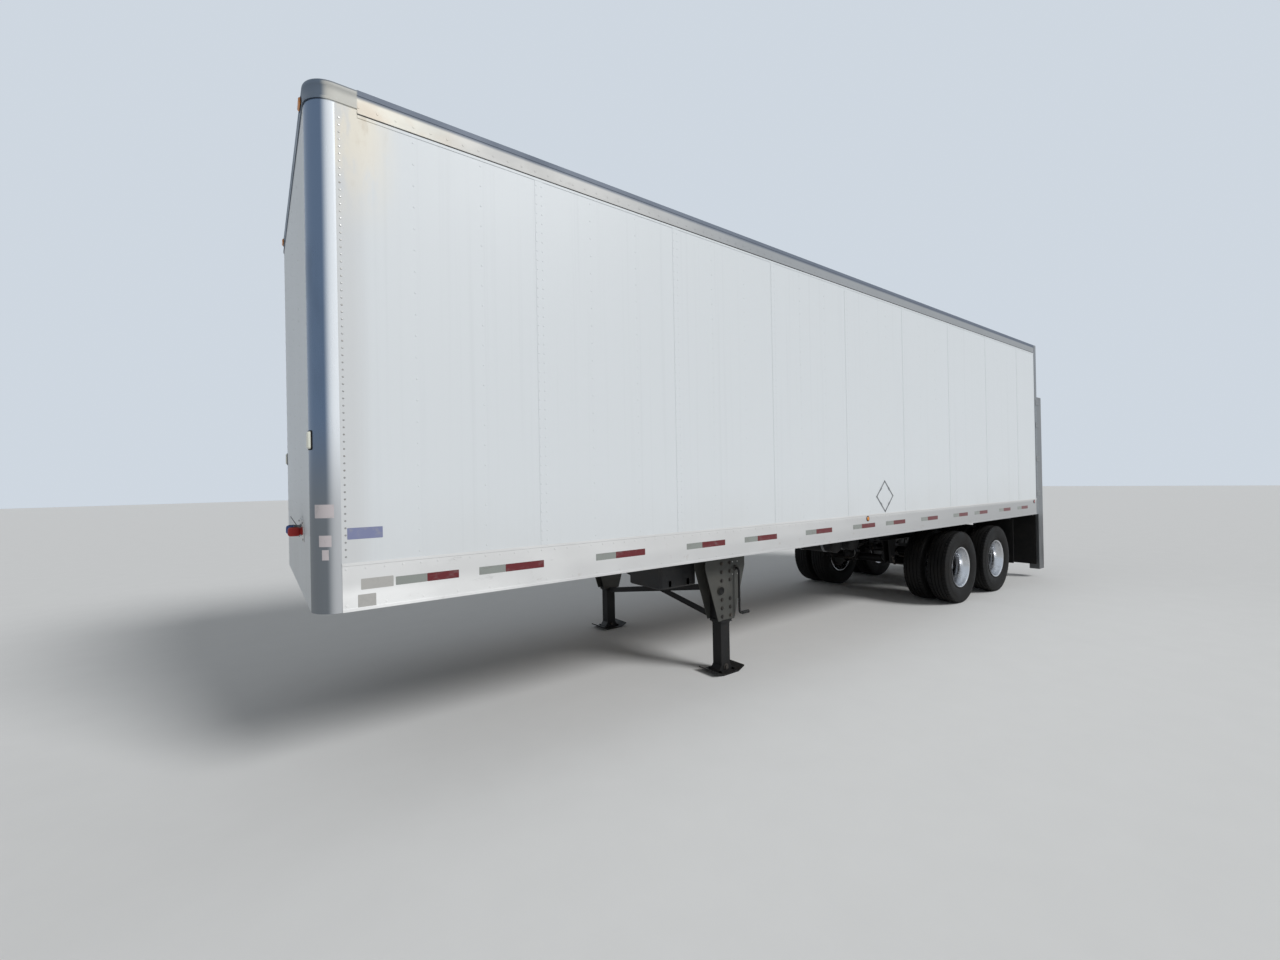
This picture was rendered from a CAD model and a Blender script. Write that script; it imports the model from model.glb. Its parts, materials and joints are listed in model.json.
import json
import math

import bpy
import numpy as np
from mathutils import Matrix, Vector


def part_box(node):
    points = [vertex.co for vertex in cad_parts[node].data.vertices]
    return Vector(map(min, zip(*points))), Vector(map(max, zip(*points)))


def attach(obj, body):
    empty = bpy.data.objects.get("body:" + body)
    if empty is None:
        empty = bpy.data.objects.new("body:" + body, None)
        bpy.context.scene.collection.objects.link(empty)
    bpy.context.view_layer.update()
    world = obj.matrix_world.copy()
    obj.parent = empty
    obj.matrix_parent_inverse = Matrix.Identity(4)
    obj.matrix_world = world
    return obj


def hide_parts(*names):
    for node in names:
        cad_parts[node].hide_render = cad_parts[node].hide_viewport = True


bl_info = {
    "name": "City Semi Trailer",
    "version": (1, 0, 0),
    "blender": (4, 5, 0),
    "location": "3D View > Sidebar > Trailer",
    "description": "Gives a dry-van semi trailer its finishes, wheels, rivets, strips and fittings",
    "category": "Object",
}

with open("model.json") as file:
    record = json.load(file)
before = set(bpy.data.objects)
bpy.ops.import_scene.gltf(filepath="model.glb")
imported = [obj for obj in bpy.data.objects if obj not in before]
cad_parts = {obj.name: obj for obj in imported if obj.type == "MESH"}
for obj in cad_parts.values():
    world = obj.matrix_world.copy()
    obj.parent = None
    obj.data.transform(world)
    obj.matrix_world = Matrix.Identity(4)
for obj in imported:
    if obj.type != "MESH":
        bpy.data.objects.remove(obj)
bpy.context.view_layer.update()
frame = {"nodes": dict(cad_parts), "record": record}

# Metres throughout, in the frame's own axes: +X forward, +Y to the trailer's left, +Z up.
# Places read from the frame
TRAILER = "trailer"
PLATFORM = "platform"
SIDES = {"left": 1, "right": -1}
AXLES = ("front", "rear")
SLOTS = [material["slot"] for material in frame["record"]["materials"]]
SLOT_OF = {part["node"]: part["material_slot"] for part in frame["record"]["subparts"]}
POST_LOW, POST_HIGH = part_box("corner_posts")
CAP_LOW, CAP_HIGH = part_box("nose_cap")
WALL_LOW, WALL_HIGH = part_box("side_walls")
RAIL_LOW, RAIL_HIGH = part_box("bottom_rails")
TOP_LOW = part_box("top_rails")[0]
TUBE_LOW, TUBE_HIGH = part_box("leg_tubes")
COLUMN_LOW, COLUMN_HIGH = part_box("gate_columns")
BUMPER_LOW, BUMPER_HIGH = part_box("bumper_bar")
SKIN_Y = POST_HIGH.y
FACE_Y = RAIL_HIGH.y
NOSE = CAP_HIGH.x
NOSE_SKIN = POST_HIGH.x
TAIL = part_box("rear_frame")[0].x
CORNER_RADIUS = POST_HIGH.x - POST_LOW.x
POST_CENTRE = np.array([NOSE_SKIN - CORNER_RADIUS, SKIN_Y - CORNER_RADIUS])
AXLE_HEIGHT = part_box("tyres_front_left")[1].z / 2

# Sizes of the body's sheet and rails
POST_WALL = 0.004
SPLICE_PITCH = 1.245
SPLICE_PROUD = 0.0015
RAIL_WEB = 0.003
WEB_Y = FACE_Y - RAIL_WEB


# Surfaces
class Surface:
    """Points, and faces whose corners run anticlockwise seen from outside."""

    def __init__(self, points, *faces):
        self.points = np.asarray(points, float).reshape(-1, 3)
        self.faces = [np.asarray(face, int) for face in faces]

    def __add__(self, other):
        shifted = [face + len(self.points) for face in other.faces]
        return Surface(np.vstack([self.points, other.points]), *self.faces, *shifted)

    def moved(self, x=0.0, y=0.0, z=0.0):
        """The surface with the same step added to every point."""
        return Surface(self.points + (x, y, z), *self.faces)

    def turned_over(self):
        """The same points with every face looking the other way."""
        return Surface(self.points, *[face[:, ::-1] for face in self.faces])

    def laid(self, right, up, out):
        """The surface with its own X, Y and Z axes laid along three directions of the frame."""
        axes = np.array([right, up, out], float)
        laid = Surface(self.points @ axes, *self.faces)
        return laid.turned_over() if np.linalg.det(axes) < 0 else laid

    def mirrored(self):
        """The same surface on the trailer's other side."""
        return self.laid((1, 0, 0), (0, -1, 0), (0, 0, 1))

    def both(self):
        """The surface on both sides of the trailer."""
        return self + self.mirrored()

    def copied(self, points):
        """The surface's faces over each copy of its points, in a (copies, points, 3) array."""
        steps = np.arange(len(points))[:, None, None] * len(self.points)
        faces = [(face[None] + steps).reshape(-1, face.shape[1]) for face in self.faces]
        return Surface(points, *faces)

    def repeated(self, places):
        """The surface at each place: every place is added to every point."""
        places = np.asarray(places, float).reshape(-1, 3)
        return self.copied(places[:, None] + self.points[None])

    def turned(self, count):
        """Copies at equal turns about Z: each point's x and y turn by the copy's angle."""
        turns = np.arange(count) * 2 * np.pi / count
        cos, sin = np.cos(turns)[:, None], np.sin(turns)[:, None]
        x, y, z = self.points.T
        return self.copied(np.stack([x * cos - y * sin, x * sin + y * cos, z + 0 * cos], -1))


def joined(surfaces):
    """Several surfaces as one."""
    whole = surfaces[0]
    for surface in surfaces[1:]:
        whole = whole + surface
    return whole


def grid(points, around=False, along=False, capped=False):
    """Quads between neighbours of a (rows, columns) array of points, facing columns x rows.

    The columns may join up around, the rows along, and the first and last row may be capped.
    """
    rows, columns = points.shape[:2]
    number = np.arange(rows * columns).reshape(rows, columns)
    if along:
        number = np.vstack([number, number[:1]])
    if around:
        number = np.hstack([number, number[:, :1]])
    corners = [number[:-1, :-1], number[:-1, 1:], number[1:, 1:], number[1:, :-1]]
    faces = [np.stack(corners, -1).reshape(-1, 4)]
    if capped:
        ring = np.arange(columns)
        faces += [ring[None, ::-1], ring[None] + columns * (rows - 1)]
    return Surface(points, *faces)


def revolved(profile, sides, closed=False):
    """A profile of (radius, height) carried round Z: point t is (r cos t, r sin t, h).

    The profile runs up the outside. An end on the axis is one point, joined by triangles, and
    a closed profile's last point joins its first.
    """
    profile = np.asarray(profile, float)
    turn = np.linspace(0, 2 * np.pi, sides, endpoint=False)
    start, end = (not closed and profile[i, 0] == 0 for i in (0, -1))
    rings = profile[int(start):len(profile) - int(end)]
    radius, height = rings[:, :1], rings[:, 1:]
    points = np.stack([radius * np.cos(turn), radius * np.sin(turn), height + 0 * turn], -1)
    surface = grid(points, around=True, along=closed)
    ring = np.arange(sides)
    after = np.roll(ring, -1)
    poles = ((start, profile[0], 0, 1), (end, profile[-1], len(rings) - 1, -1))
    for on_axis, (_, level), row, order in poles:
        if on_axis:
            tip = np.full(sides, len(surface.points))
            fan = np.stack([tip, after + row * sides, ring + row * sides][::order], -1)
            surface = Surface(np.vstack([surface.points, (0, 0, level)]), *surface.faces, fan)
    return surface


def disc(radius, low, high, sides=24):
    """A plain round plate or pin round Z, closed at both ends."""
    return revolved([(0, low), (radius, low), (radius, high), (0, high)], sides)


def inset(outline, depth):
    """An anticlockwise outline drawn in: each corner moves along the sum of its edges' normals."""
    edge = np.roll(outline, -1, 0) - outline
    normal = np.stack([edge[:, 1], -edge[:, 0]], -1)
    normal /= np.linalg.norm(normal, axis=1, keepdims=True)
    before = np.roll(normal, 1, 0)
    share = 1 + (normal * before).sum(1, keepdims=True)
    return outline - depth * (normal + before) / share


def prism(outline, low, high, bevel=0.0):
    """An anticlockwise outline of (x, y) carried up Z, drawn in by a bevel at both ends."""
    outline = np.asarray(outline, float)
    rows = [(outline, low), (outline, high)]
    if bevel:
        tight = inset(outline, bevel)
        rows = [(tight, low), (outline, low + bevel), (outline, high - bevel), (tight, high)]
    points = [np.column_stack([shape, np.full(len(shape), z)]) for shape, z in rows]
    return grid(np.stack(points), around=True, capped=True)


def rounded(x0, y0, x1, y1, radius, steps=1):
    """A rectangle whose corners are arcs, as an anticlockwise outline."""
    turn = np.linspace(0, np.pi / 2, steps + 1)
    centres = ((x1 - radius, y1 - radius), (x0 + radius, y1 - radius))
    centres += ((x0 + radius, y0 + radius), (x1 - radius, y0 + radius))
    arcs = [
        np.column_stack([x + radius * np.cos(turn + i * np.pi / 2),
                         y + radius * np.sin(turn + i * np.pi / 2)])
        for i, (x, y) in enumerate(centres)
    ]
    return np.vstack(arcs)


def plate(half_x, half_y, thickness, radius, steps=4, bevel=0.001):
    """A flat plate with round corners that stands on Z = 0 round the axis."""
    return prism(rounded(-half_x, -half_y, half_x, half_y, radius, steps), 0, thickness, bevel)


def box(low, high, bevel=0.002):
    """A box with all its edges bevelled."""
    (x0, y0, z0), (x1, y1, z1) = low, high
    return prism(rounded(x0, y0, x1, y1, bevel), z0, z1, bevel)


def bar(half_x, half_y, low, high, bevel=0.002):
    """An upright bar round the axis, with all its edges bevelled."""
    return box((-half_x, -half_y, low), (half_x, half_y, high), bevel)


def tube(path, radius, sides=12, up=(0, 0, 1)):
    """A circle carried along a path, square to its direction: the path's point plus the radius
    times (cos t across - sin t over), capped at both ends.
    """
    path = np.asarray(path, float)
    way = np.gradient(path, axis=0)
    way /= np.linalg.norm(way, axis=1, keepdims=True)
    across = np.cross(way, up)
    across /= np.linalg.norm(across, axis=1, keepdims=True)
    over = np.cross(across, way)
    turn = np.linspace(0, 2 * np.pi, sides, endpoint=False)[:, None]
    ring = across[:, None] * np.cos(turn) - over[:, None] * np.sin(turn)
    return grid(path[:, None] + radius * ring, around=True, capped=True)


def bent(corners, radius, steps=6):
    """A path through corners, each rounded by the curve (1-t)^2 a + 2 t (1-t) p + t^2 b."""
    corners = np.asarray(corners, float)
    t = np.linspace(0, 1, steps + 1)[:, None]
    path = [corners[:1]]
    for before, point, after in zip(corners, corners[1:], corners[2:]):
        a = point + (before - point) / np.linalg.norm(before - point) * radius
        b = point + (after - point) / np.linalg.norm(after - point) * radius
        path.append((1 - t) ** 2 * a + 2 * t * (1 - t) * point + t**2 * b)
    return np.vstack([*path, corners[-1:]])


def dome(radius, height, sides=6):
    """A rivet's or bolt's low round head, standing on Z = 0."""
    return revolved([(radius, 0), (0.8 * radius, 0.7 * height), (0, height)], sides)


def hex_head(across, height):
    """A hexagon bolt head or nut with its upper corners bevelled, standing on Z = 0."""
    radius = across / math.sqrt(3)
    profile = [(radius, 0), (radius, 0.85 * height), (0.86 * radius, height), (0, height)]
    return revolved(profile, 6)


def washered(across, height):
    """A hexagon head on its washer, standing on Z = 0."""
    washer = disc(0.78 * across, 0, 0.25 * height, 18)
    return washer + hex_head(across, height).moved(z=0.2 * height)


def evenly(start, end, pitch):
    """Points from start to end, spaced as near to the pitch as fits."""
    start, end = np.asarray(start, float), np.asarray(end, float)
    count = max(1, round(float(np.linalg.norm(end - start)) / pitch))
    return start + (end - start) * np.linspace(0, 1, count + 1)[:, None]


def laying(*axes):
    """A function that lays a surface with its own X, Y and Z axes along three directions."""
    return lambda surface: surface.laid(*axes)


# Ways to lay a surface that stands on Z = 0: out of the left side, towards the right side, out
# of the nose, out of the rear, and hanging from a ceiling
outwards = laying((1, 0, 0), (0, 0, -1), (0, 1, 0))
inwards = laying((1, 0, 0), (0, 0, 1), (0, -1, 0))
forwards = laying((0, 1, 0), (0, 0, 1), (1, 0, 0))
backwards = laying((0, -1, 0), (0, 0, 1), (-1, 0, 0))
downwards = laying((1, 0, 0), (0, -1, 0), (0, 0, -1))


def middle_of(node):
    """Middle of a node's box."""
    low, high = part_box(node)
    return (low + high) / 2


# Nodes
class Link:
    """A node's output. Arithmetic on it adds Math nodes."""

    def __init__(self, nodes, socket):
        self.nodes = nodes
        self.socket = socket

    def math(self, operation, first, second):
        """A Math node that works on two values or links."""
        return self.nodes.node("ShaderNodeMath", {"operation": operation}, {0: first, 1: second})

    def __add__(self, other):
        return self.math("ADD", self, other)

    def __sub__(self, other):
        return self.math("SUBTRACT", self, other)

    def __rsub__(self, other):
        return self.math("SUBTRACT", other, self)

    def __mul__(self, other):
        return self.math("MULTIPLY", self, other)

    __radd__ = __add__
    __rmul__ = __mul__

    def size(self):
        """The value without its sign."""
        return self.math("ABSOLUTE", self, 0.0)

    def wave(self, length):
        """0 at every even multiple of the length and 1 at every odd one, straight between."""
        return self.math("PINGPONG", self, length) * (1 / length)

    def between(self, low, high):
        """0 below low and 1 above high, smooth between them. With low above high it falls."""
        value, sign = (self, 1) if low < high else (0 - self, -1)
        sockets = {"Value": value, "From Min": sign * low, "From Max": sign * high}
        return self.nodes.node("ShaderNodeMapRange", {"interpolation_type": "SMOOTHSTEP"}, sockets)


class Nodes:
    """A node tree: any node comes from node(), which sets it up and feeds its sockets."""

    def __init__(self, tree):
        self.tree = tree

    def feed(self, socket, value):
        """Feeds a socket with a link or sets its value."""
        if isinstance(value, Link):
            self.tree.links.new(value.socket, socket)
        else:
            socket.default_value = value

    def node(self, kind, settings=None, sockets=None, output=0):
        """A node of any kind: its settings first, then values or links for its sockets."""
        made = self.tree.nodes.new(kind)
        for name, value in (settings or {}).items():
            setattr(made, name, value)
        for name, value in (sockets or {}).items():
            self.feed(made.inputs[name], value)
        return Link(self, made.outputs[output])


class Finish(Nodes):
    """One material, whose patterns read Object coordinates. paint() feeds its shader."""

    def __init__(self, name, colour, roughness, metallic=0.0, **uniform):
        self.material = bpy.data.materials.new(name)
        self.material.use_nodes = True
        self.material.diffuse_color = (*colour, 1)
        super().__init__(self.material.node_tree)
        self.colour = (*colour, 1)
        self.paint("Base Color", self.colour)
        self.paint("Roughness", roughness)
        self.paint("Metallic", metallic)
        for socket, value in uniform.items():
            self.paint(socket.replace("_", " ").title().replace("Ior", "IOR"), value)
        self.place = self.node("ShaderNodeTexCoord", output="Object")

    def paint(self, socket, value):
        """Feeds one of the shader's sockets."""
        self.feed(self.tree.nodes["Principled BSDF"].inputs[socket], value)

    def along(self, axis):
        """The place's coordinate along X, Y or Z."""
        return self.node("ShaderNodeSeparateXYZ", None, {0: self.place}, axis)

    def behind(self, start, end):
        """0 at one distance behind the nose and 1 at another, smooth between them."""
        return self.along("X").between(NOSE - start, NOSE - end)

    def inside(self, start, end):
        """0 at one depth inside the side's skin and 1 at another, smooth between them."""
        return self.along("Y").size().between(SKIN_Y - start, SKIN_Y - end)

    def above(self, base, start, end):
        """0 at one height above a base and 1 at another, smooth between them."""
        return self.along("Z").between(base + start, base + end)

    def noise(self, scale, stretch=(1, 1, 1), detail=3.0, roughness=0.55):
        """Cloudy noise from 0 to 1, finer along an axis where its stretch is larger."""
        scaled = self.node(
            "ShaderNodeVectorMath", {"operation": "MULTIPLY"}, {0: self.place, 1: stretch}
        )
        sockets = {"Vector": scaled, "Scale": scale, "Detail": detail, "Roughness": roughness}
        return self.node("ShaderNodeTexNoise", None, sockets)

    def blend(self, mask, under, over):
        """One colour over another where the mask is 1."""
        return self.node("ShaderNodeMix", {"data_type": "RGBA"}, {0: mask, 6: under, 7: over}, 2)

    def layers(self, tone, *coats):
        """A tone with coats of (mask, colour) laid over it, one after the other."""
        for mask, coat in coats:
            tone = self.blend(mask, tone, coat)
        return tone

    def coat(self, *coats):
        """Paints the finish's own colour with coats of (mask, colour) over it."""
        self.paint("Base Color", self.layers(self.colour, *coats))

    def bump(self, height, distance, strength):
        """Relief from a height pattern, which the distance scales."""
        sockets = {"Height": height, "Distance": distance, "Strength": strength}
        self.paint("Normal", self.node("ShaderNodeBump", None, sockets))

    def upward(self):
        """1 on faces that look up, 0 on faces that look sideways or down."""
        normal = self.node("ShaderNodeTexCoord", output="Normal")
        return self.node("ShaderNodeSeparateXYZ", None, {0: normal}, "Z").between(0.2, 0.9)


def rgb(red, green, blue):
    """A colour as a socket takes it."""
    return (red, green, blue, 1.0)


def shade(colour, share):
    """A colour made darker, all parts alike."""
    return rgb(*[share * part for part in colour[:3]])


# Finishes
BOARDS_A_METRE = 9.0
LENS_RIB = 0.003
DIAMOND_CELL = 0.004


def white_panel(name, colour):
    """Coated white sheet: faint mottling and rain marks, road film low down, a grey film beside
    the corner post, and a cream stain with brown streaks that has run from the cap.
    """
    f = Finish(name, colour, 0.3, specular_ior_level=0.28)
    mottle = f.noise(0.7, detail=4.0)
    streak = f.noise(1.0, (26, 26, 0.3), detail=4.0).between(0.52, 0.8)
    film = f.above(RAIL_LOW.z, 0.77, 0.22) * f.noise(2.2, (1, 1, 0.7), detail=5.0)
    side = f.inside(0.009, 0.003)
    seam = f.behind(0.34, 0.20) * side
    run = f.above(TOP_LOW.z, -0.75, -0.05) * f.behind(0.52, 0.28) * side
    stain = f.noise(5.0, (2, 2, 0.6), detail=6.0)
    f.coat(
        (mottle * 0.3, shade(colour, 0.94)),
        (streak * 0.09, rgb(0.4, 0.42, 0.44)),
        (film * 0.2, rgb(0.42, 0.38, 0.33)),
        (seam * 0.35, rgb(0.5, 0.49, 0.48)),
        (run * stain.between(0.3, 0.55) * 0.65, rgb(0.84, 0.76, 0.6)),
        (run * stain.between(0.56, 0.72) * 0.4, rgb(0.44, 0.34, 0.22)),
    )
    f.paint("Roughness", 0.34 + mottle * 0.16 + film * 0.12)
    f.bump(f.noise(1.3, (1, 1, 0.5), detail=2.0), 0.003, 0.4)
    return f.material


def polished_steel(name, colour):
    """Bright rolled sheet with a fine upright grain and water marks, pale along the edge where it
    meets the side, and scratched dull low down.
    """
    f = Finish(name, colour, 0.25, 1.0)
    grain = f.noise(1.0, (140, 140, 0.8), detail=3.0)
    marks = f.noise(6.0, (1, 1, 0.3), detail=5.0).between(0.5, 0.8)
    low = f.above(POST_LOW.z, 1.17, 0.47)
    edge = f.inside(0.020, 0.001)
    pale = f.blend(low * 0.9, rgb(0.86, 0.89, 0.92), rgb(0.42, 0.43, 0.445))
    f.coat(
        (marks * 0.3, shade(colour, 0.6)),
        (low * 0.85, rgb(0.22, 0.23, 0.235)),
        (edge, pale),
    )
    f.paint("Metallic", 1.0 - edge * 0.75)
    f.paint("Roughness", 0.2 + grain * 0.1 + marks * 0.1 + low * 0.22)
    f.bump(grain, 0.0004, 0.2)
    return f.material


def bottom_rail_tone(f, bloom, scuff):
    """Chalky white oxide, scuffs and red dirt low down, rubbed white under the nose, with a grey
    film towards the wheels.
    """
    dirt = f.noise(7.0, (0.7, 1, 1), detail=6.0, roughness=0.68).between(0.6, 0.76)
    low = f.above(RAIL_LOW.z, 0.17, 0.08)
    spray = f.behind(0.82, 9.82) * f.above(RAIL_LOW.z, 0.28, 0.22)
    rubbed = f.behind(1.32, 0.72) * (0.5 + bloom * 0.5)
    return f.layers(
        f.colour,
        (bloom * 0.5, rgb(0.76, 0.76, 0.755)),
        (low * rubbed, rgb(0.9, 0.9, 0.89)),
        (low * f.behind(1.32, 1.82) * 0.25, rgb(0.45, 0.45, 0.455)),
        (scuff * 0.3, rgb(0.3, 0.29, 0.28)),
        (spray * 0.8, rgb(0.34, 0.345, 0.35)),
        (dirt * f.above(RAIL_LOW.z, 0.27, 0.0) * 0.55, rgb(0.26, 0.16, 0.12)),
    )


def top_rail_tone(f, bloom, bare):
    """Creamy by the nose and greyer rearwards, with brown grime near the cap and a dark top edge.
    The cap is greyer, round the corner it is bare, and the roof is pale.
    """
    grime = f.behind(1.12, 0.32) * f.noise(4.0, detail=6.0).between(0.4, 0.62)
    top = f.above(CAP_HIGH.z, -0.060, -0.036)
    cap = f.behind(0.265, 0.255)
    roof = f.blend(bloom * 0.5, rgb(0.46, 0.47, 0.48), rgb(0.58, 0.58, 0.57))
    return f.layers(
        rgb(0.8, 0.78, 0.7),
        (f.behind(0.32, 1.12), rgb(0.56, 0.555, 0.54)),
        (f.behind(1.22, 3.82), rgb(0.31, 0.325, 0.34)),
        (grime * 0.4, rgb(0.66, 0.5, 0.36)),
        (top, rgb(0.13, 0.155, 0.2)),
        (top * f.inside(0.055, 0.079), roof),
        (cap * 0.9, rgb(0.5, 0.495, 0.46)),
        (cap * f.above(CAP_HIGH.z, -0.016, -0.010) * 0.8, rgb(0.1, 0.12, 0.15)),
        (bare, rgb(0.14, 0.17, 0.21)),
    )


def mill_aluminium(name, colour):
    """Weathered extrusion of the rails, the cap and the roof, with the die's fine lines along it
    and chalky bloom and scuffs at random.
    """
    f = Finish(name, colour, 0.4, 0.5)
    lines = f.noise(1.0, (0.8, 150, 150), detail=3.0)
    bloom = f.noise(3.0, (0.6, 1, 1), detail=5.0).between(0.38, 0.7)
    scuff = f.noise(9.0, (0.5, 1, 1.6), detail=6.0, roughness=0.7).between(0.62, 0.74)
    high = f.above(TOP_LOW.z, -1.35, -0.35)
    bare = high * f.behind(0.19, 0.14) * f.inside(-0.002, 0.013)
    tone = bottom_rail_tone(f, bloom, scuff)
    f.paint("Base Color", f.blend(high, tone, top_rail_tone(f, bloom, bare)))
    f.paint("Metallic", 0.15 + bare * 0.7)
    f.paint("Roughness", 0.38 + bloom * 0.14 + scuff * 0.14 + high * (1.0 - bare) * 0.2)
    f.bump(lines * 0.3 + scuff * 0.7, 0.0008, 0.35)
    return f.material


def hardwood(name, colour):
    """Oiled boards that run along the trailer, each of its own tone."""
    f = Finish(name, colour, 0.55)
    board = f.node("ShaderNodeMath", {"operation": "FLOOR"}, {0: f.along("Y") * BOARDS_A_METRE})
    tint = f.node("ShaderNodeTexWhiteNoise", {"noise_dimensions": "1D"}, {"W": board})
    grain = f.noise(1.0, (1.5, 60, 60), detail=5.0)
    tone = f.blend(grain, rgb(0.16, 0.1, 0.055), f.colour)
    f.paint("Base Color", f.blend(tint * 0.4, tone, rgb(0.42, 0.3, 0.18)))
    f.paint("Roughness", 0.45 + grain * 0.25)
    f.bump(grain, 0.001, 0.4)
    return f.material


def road_paint(name, colour, dust, dust_share, rust_share):
    """Satin chassis paint with settled road dust and freckles of rust at random."""
    f = Finish(name, colour, 0.5, specular_ior_level=0.25)
    film = f.noise(4.0, detail=5.0).between(0.35, 0.75)
    rust = f.noise(26.0, detail=6.0, roughness=0.7).between(0.63, 0.7)
    f.coat(
        ((film * 0.6 + f.upward() * 0.7) * dust_share, dust),
        (rust * rust_share, rgb(0.11, 0.042, 0.02)),
    )
    f.paint("Roughness", 0.42 + film * 0.25 + rust * 0.2)
    f.bump(f.noise(90.0, detail=3.0) * 0.4 + rust * 0.6, 0.0006, 0.35)
    return f.material


def galvanised_steel(name, colour):
    """Zinc coat with its spangle of flat crystals and a chalky bloom."""
    f = Finish(name, colour, 0.45, 0.6)
    cells = {"Vector": f.place, "Scale": 55.0}
    crystal = f.node("ShaderNodeTexVoronoi", None, cells, "Color")
    level = f.node("ShaderNodeSeparateXYZ", None, {0: crystal}, "X")
    bloom = f.noise(5.0, detail=5.0).between(0.45, 0.8)
    f.coat((level * 0.3, shade(colour, 0.7)), (bloom * 0.4, rgb(0.36, 0.36, 0.35)))
    f.paint("Roughness", 0.38 + level * 0.14 + bloom * 0.2)
    f.bump(level, 0.0003, 0.2)
    return f.material


def chalky_steel(name, colour):
    """Grey paint of the lift gate, chalky, with grease shadows down its length and road dirt on
    all that hangs below the floor.
    """
    f = Finish(name, colour, 0.45, 0.3)
    chalk = f.noise(4.0, (1, 1, 0.4), detail=5.0).between(0.4, 0.75)
    grease = f.noise(2.0, (9, 9, 0.5), detail=4.0).between(0.58, 0.78)
    dirt = f.above(RAIL_LOW.z, 0.07, -0.11) * (0.6 + chalk * 0.4)
    f.coat(
        (chalk * 0.35, rgb(0.36, 0.37, 0.37)),
        (grease * 0.4, rgb(0.09, 0.085, 0.08)),
        (dirt * 0.75, rgb(0.022, 0.021, 0.02)),
    )
    f.paint("Roughness", 0.4 + chalk * 0.25)
    f.bump(f.noise(120.0, detail=2.0), 0.0004, 0.25)
    return f.material


def rough_iron(name, colour, scale):
    """Dark rolled or cast iron with a pitted skin and brown dust in its low places."""
    f = Finish(name, colour, 0.6, 0.3)
    pits = f.noise(scale, detail=5.0, roughness=0.65)
    dust = f.noise(6.0, detail=5.0).between(0.45, 0.75)
    f.coat(
        (dust * 0.5, rgb(0.13, 0.105, 0.08)),
        (pits.between(0.6, 0.75) * 0.5, rgb(0.09, 0.04, 0.022)),
    )
    f.paint("Roughness", 0.5 + pits * 0.3)
    f.bump(pits, 0.0012, 0.5)
    return f.material


def plated_bolt(name, colour):
    """Plated bolts and nuts, dulled by dust."""
    f = Finish(name, colour, 0.4, 0.8)
    dust = f.noise(30.0, detail=4.0).between(0.4, 0.75)
    f.coat((dust * 0.5, rgb(0.16, 0.13, 0.1)))
    f.paint("Roughness", 0.32 + dust * 0.3)
    return f.material


def rubber(name, colour, dust_share):
    """Matt rubber, greyer where road dust clings."""
    f = Finish(name, colour, 0.75, specular_ior_level=0.2)
    cloud = f.noise(5.0, detail=5.0).between(0.35, 0.75)
    f.coat((cloud * dust_share, rgb(0.05, 0.045, 0.04)))
    f.paint("Roughness", 0.62 + cloud * 0.25)
    f.bump(f.noise(160.0, detail=2.0), 0.0005, 0.3)
    return f.material


def polished_rim(name, colour):
    """Polished forged wheel, hazed by washing, with brake dust in soft patches."""
    f = Finish(name, colour, 0.24, 1.0)
    haze = f.noise(3.0, detail=3.0)
    dust = f.noise(18.0, detail=5.0).between(0.5, 0.8)
    f.coat((dust * 0.22, rgb(0.3, 0.28, 0.26)))
    f.paint("Roughness", 0.2 + haze * 0.12 + dust * 0.12)
    return f.material


def lens(name, colour):
    """Clear coloured plastic with fine upright ribs moulded inside."""
    f = Finish(name, colour, 0.18, coat_weight=0.6, specular_ior_level=0.6)
    ribs = f.along("Z").wave(LENS_RIB)
    f.coat((ribs * 0.6, shade(colour, 0.45)))
    f.paint("Roughness", 0.12 + f.noise(30.0) * 0.14)
    f.bump(ribs, 0.0006, 0.4)
    return f.material


def reflective(name, colour, scuff_share):
    """Reflecting strip: small diamond cells under a clear face, scuffed and greyed by the road."""
    f = Finish(name, colour, 0.3, coat_weight=0.3)
    rising = (f.along("X") + f.along("Z")).wave(DIAMOND_CELL)
    falling = (f.along("X") - f.along("Z")).wave(DIAMOND_CELL)
    seam = (rising * falling).between(0.12, 0.02)
    scuff = f.noise(14.0, (0.7, 1, 1.4), detail=6.0, roughness=0.7).between(0.5, 0.7)
    f.coat((seam * 0.4, shade(colour, 0.55)), (scuff * scuff_share, rgb(0.2, 0.18, 0.17)))
    f.paint("Roughness", 0.28 + scuff * 0.35)
    f.bump(seam, 0.0002, 0.3)
    return f.material


def blank_film(name, colour):
    """Blank film stuck on, faded and lifted a little at random."""
    f = Finish(name, colour, 0.4)
    wear = f.noise(22.0, detail=6.0, roughness=0.7).between(0.5, 0.72)
    f.coat((wear * 0.45, rgb(0.33, 0.33, 0.32)))
    f.paint("Roughness", 0.35 + wear * 0.3)
    f.bump(wear, 0.0003, 0.4)
    return f.material


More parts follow.
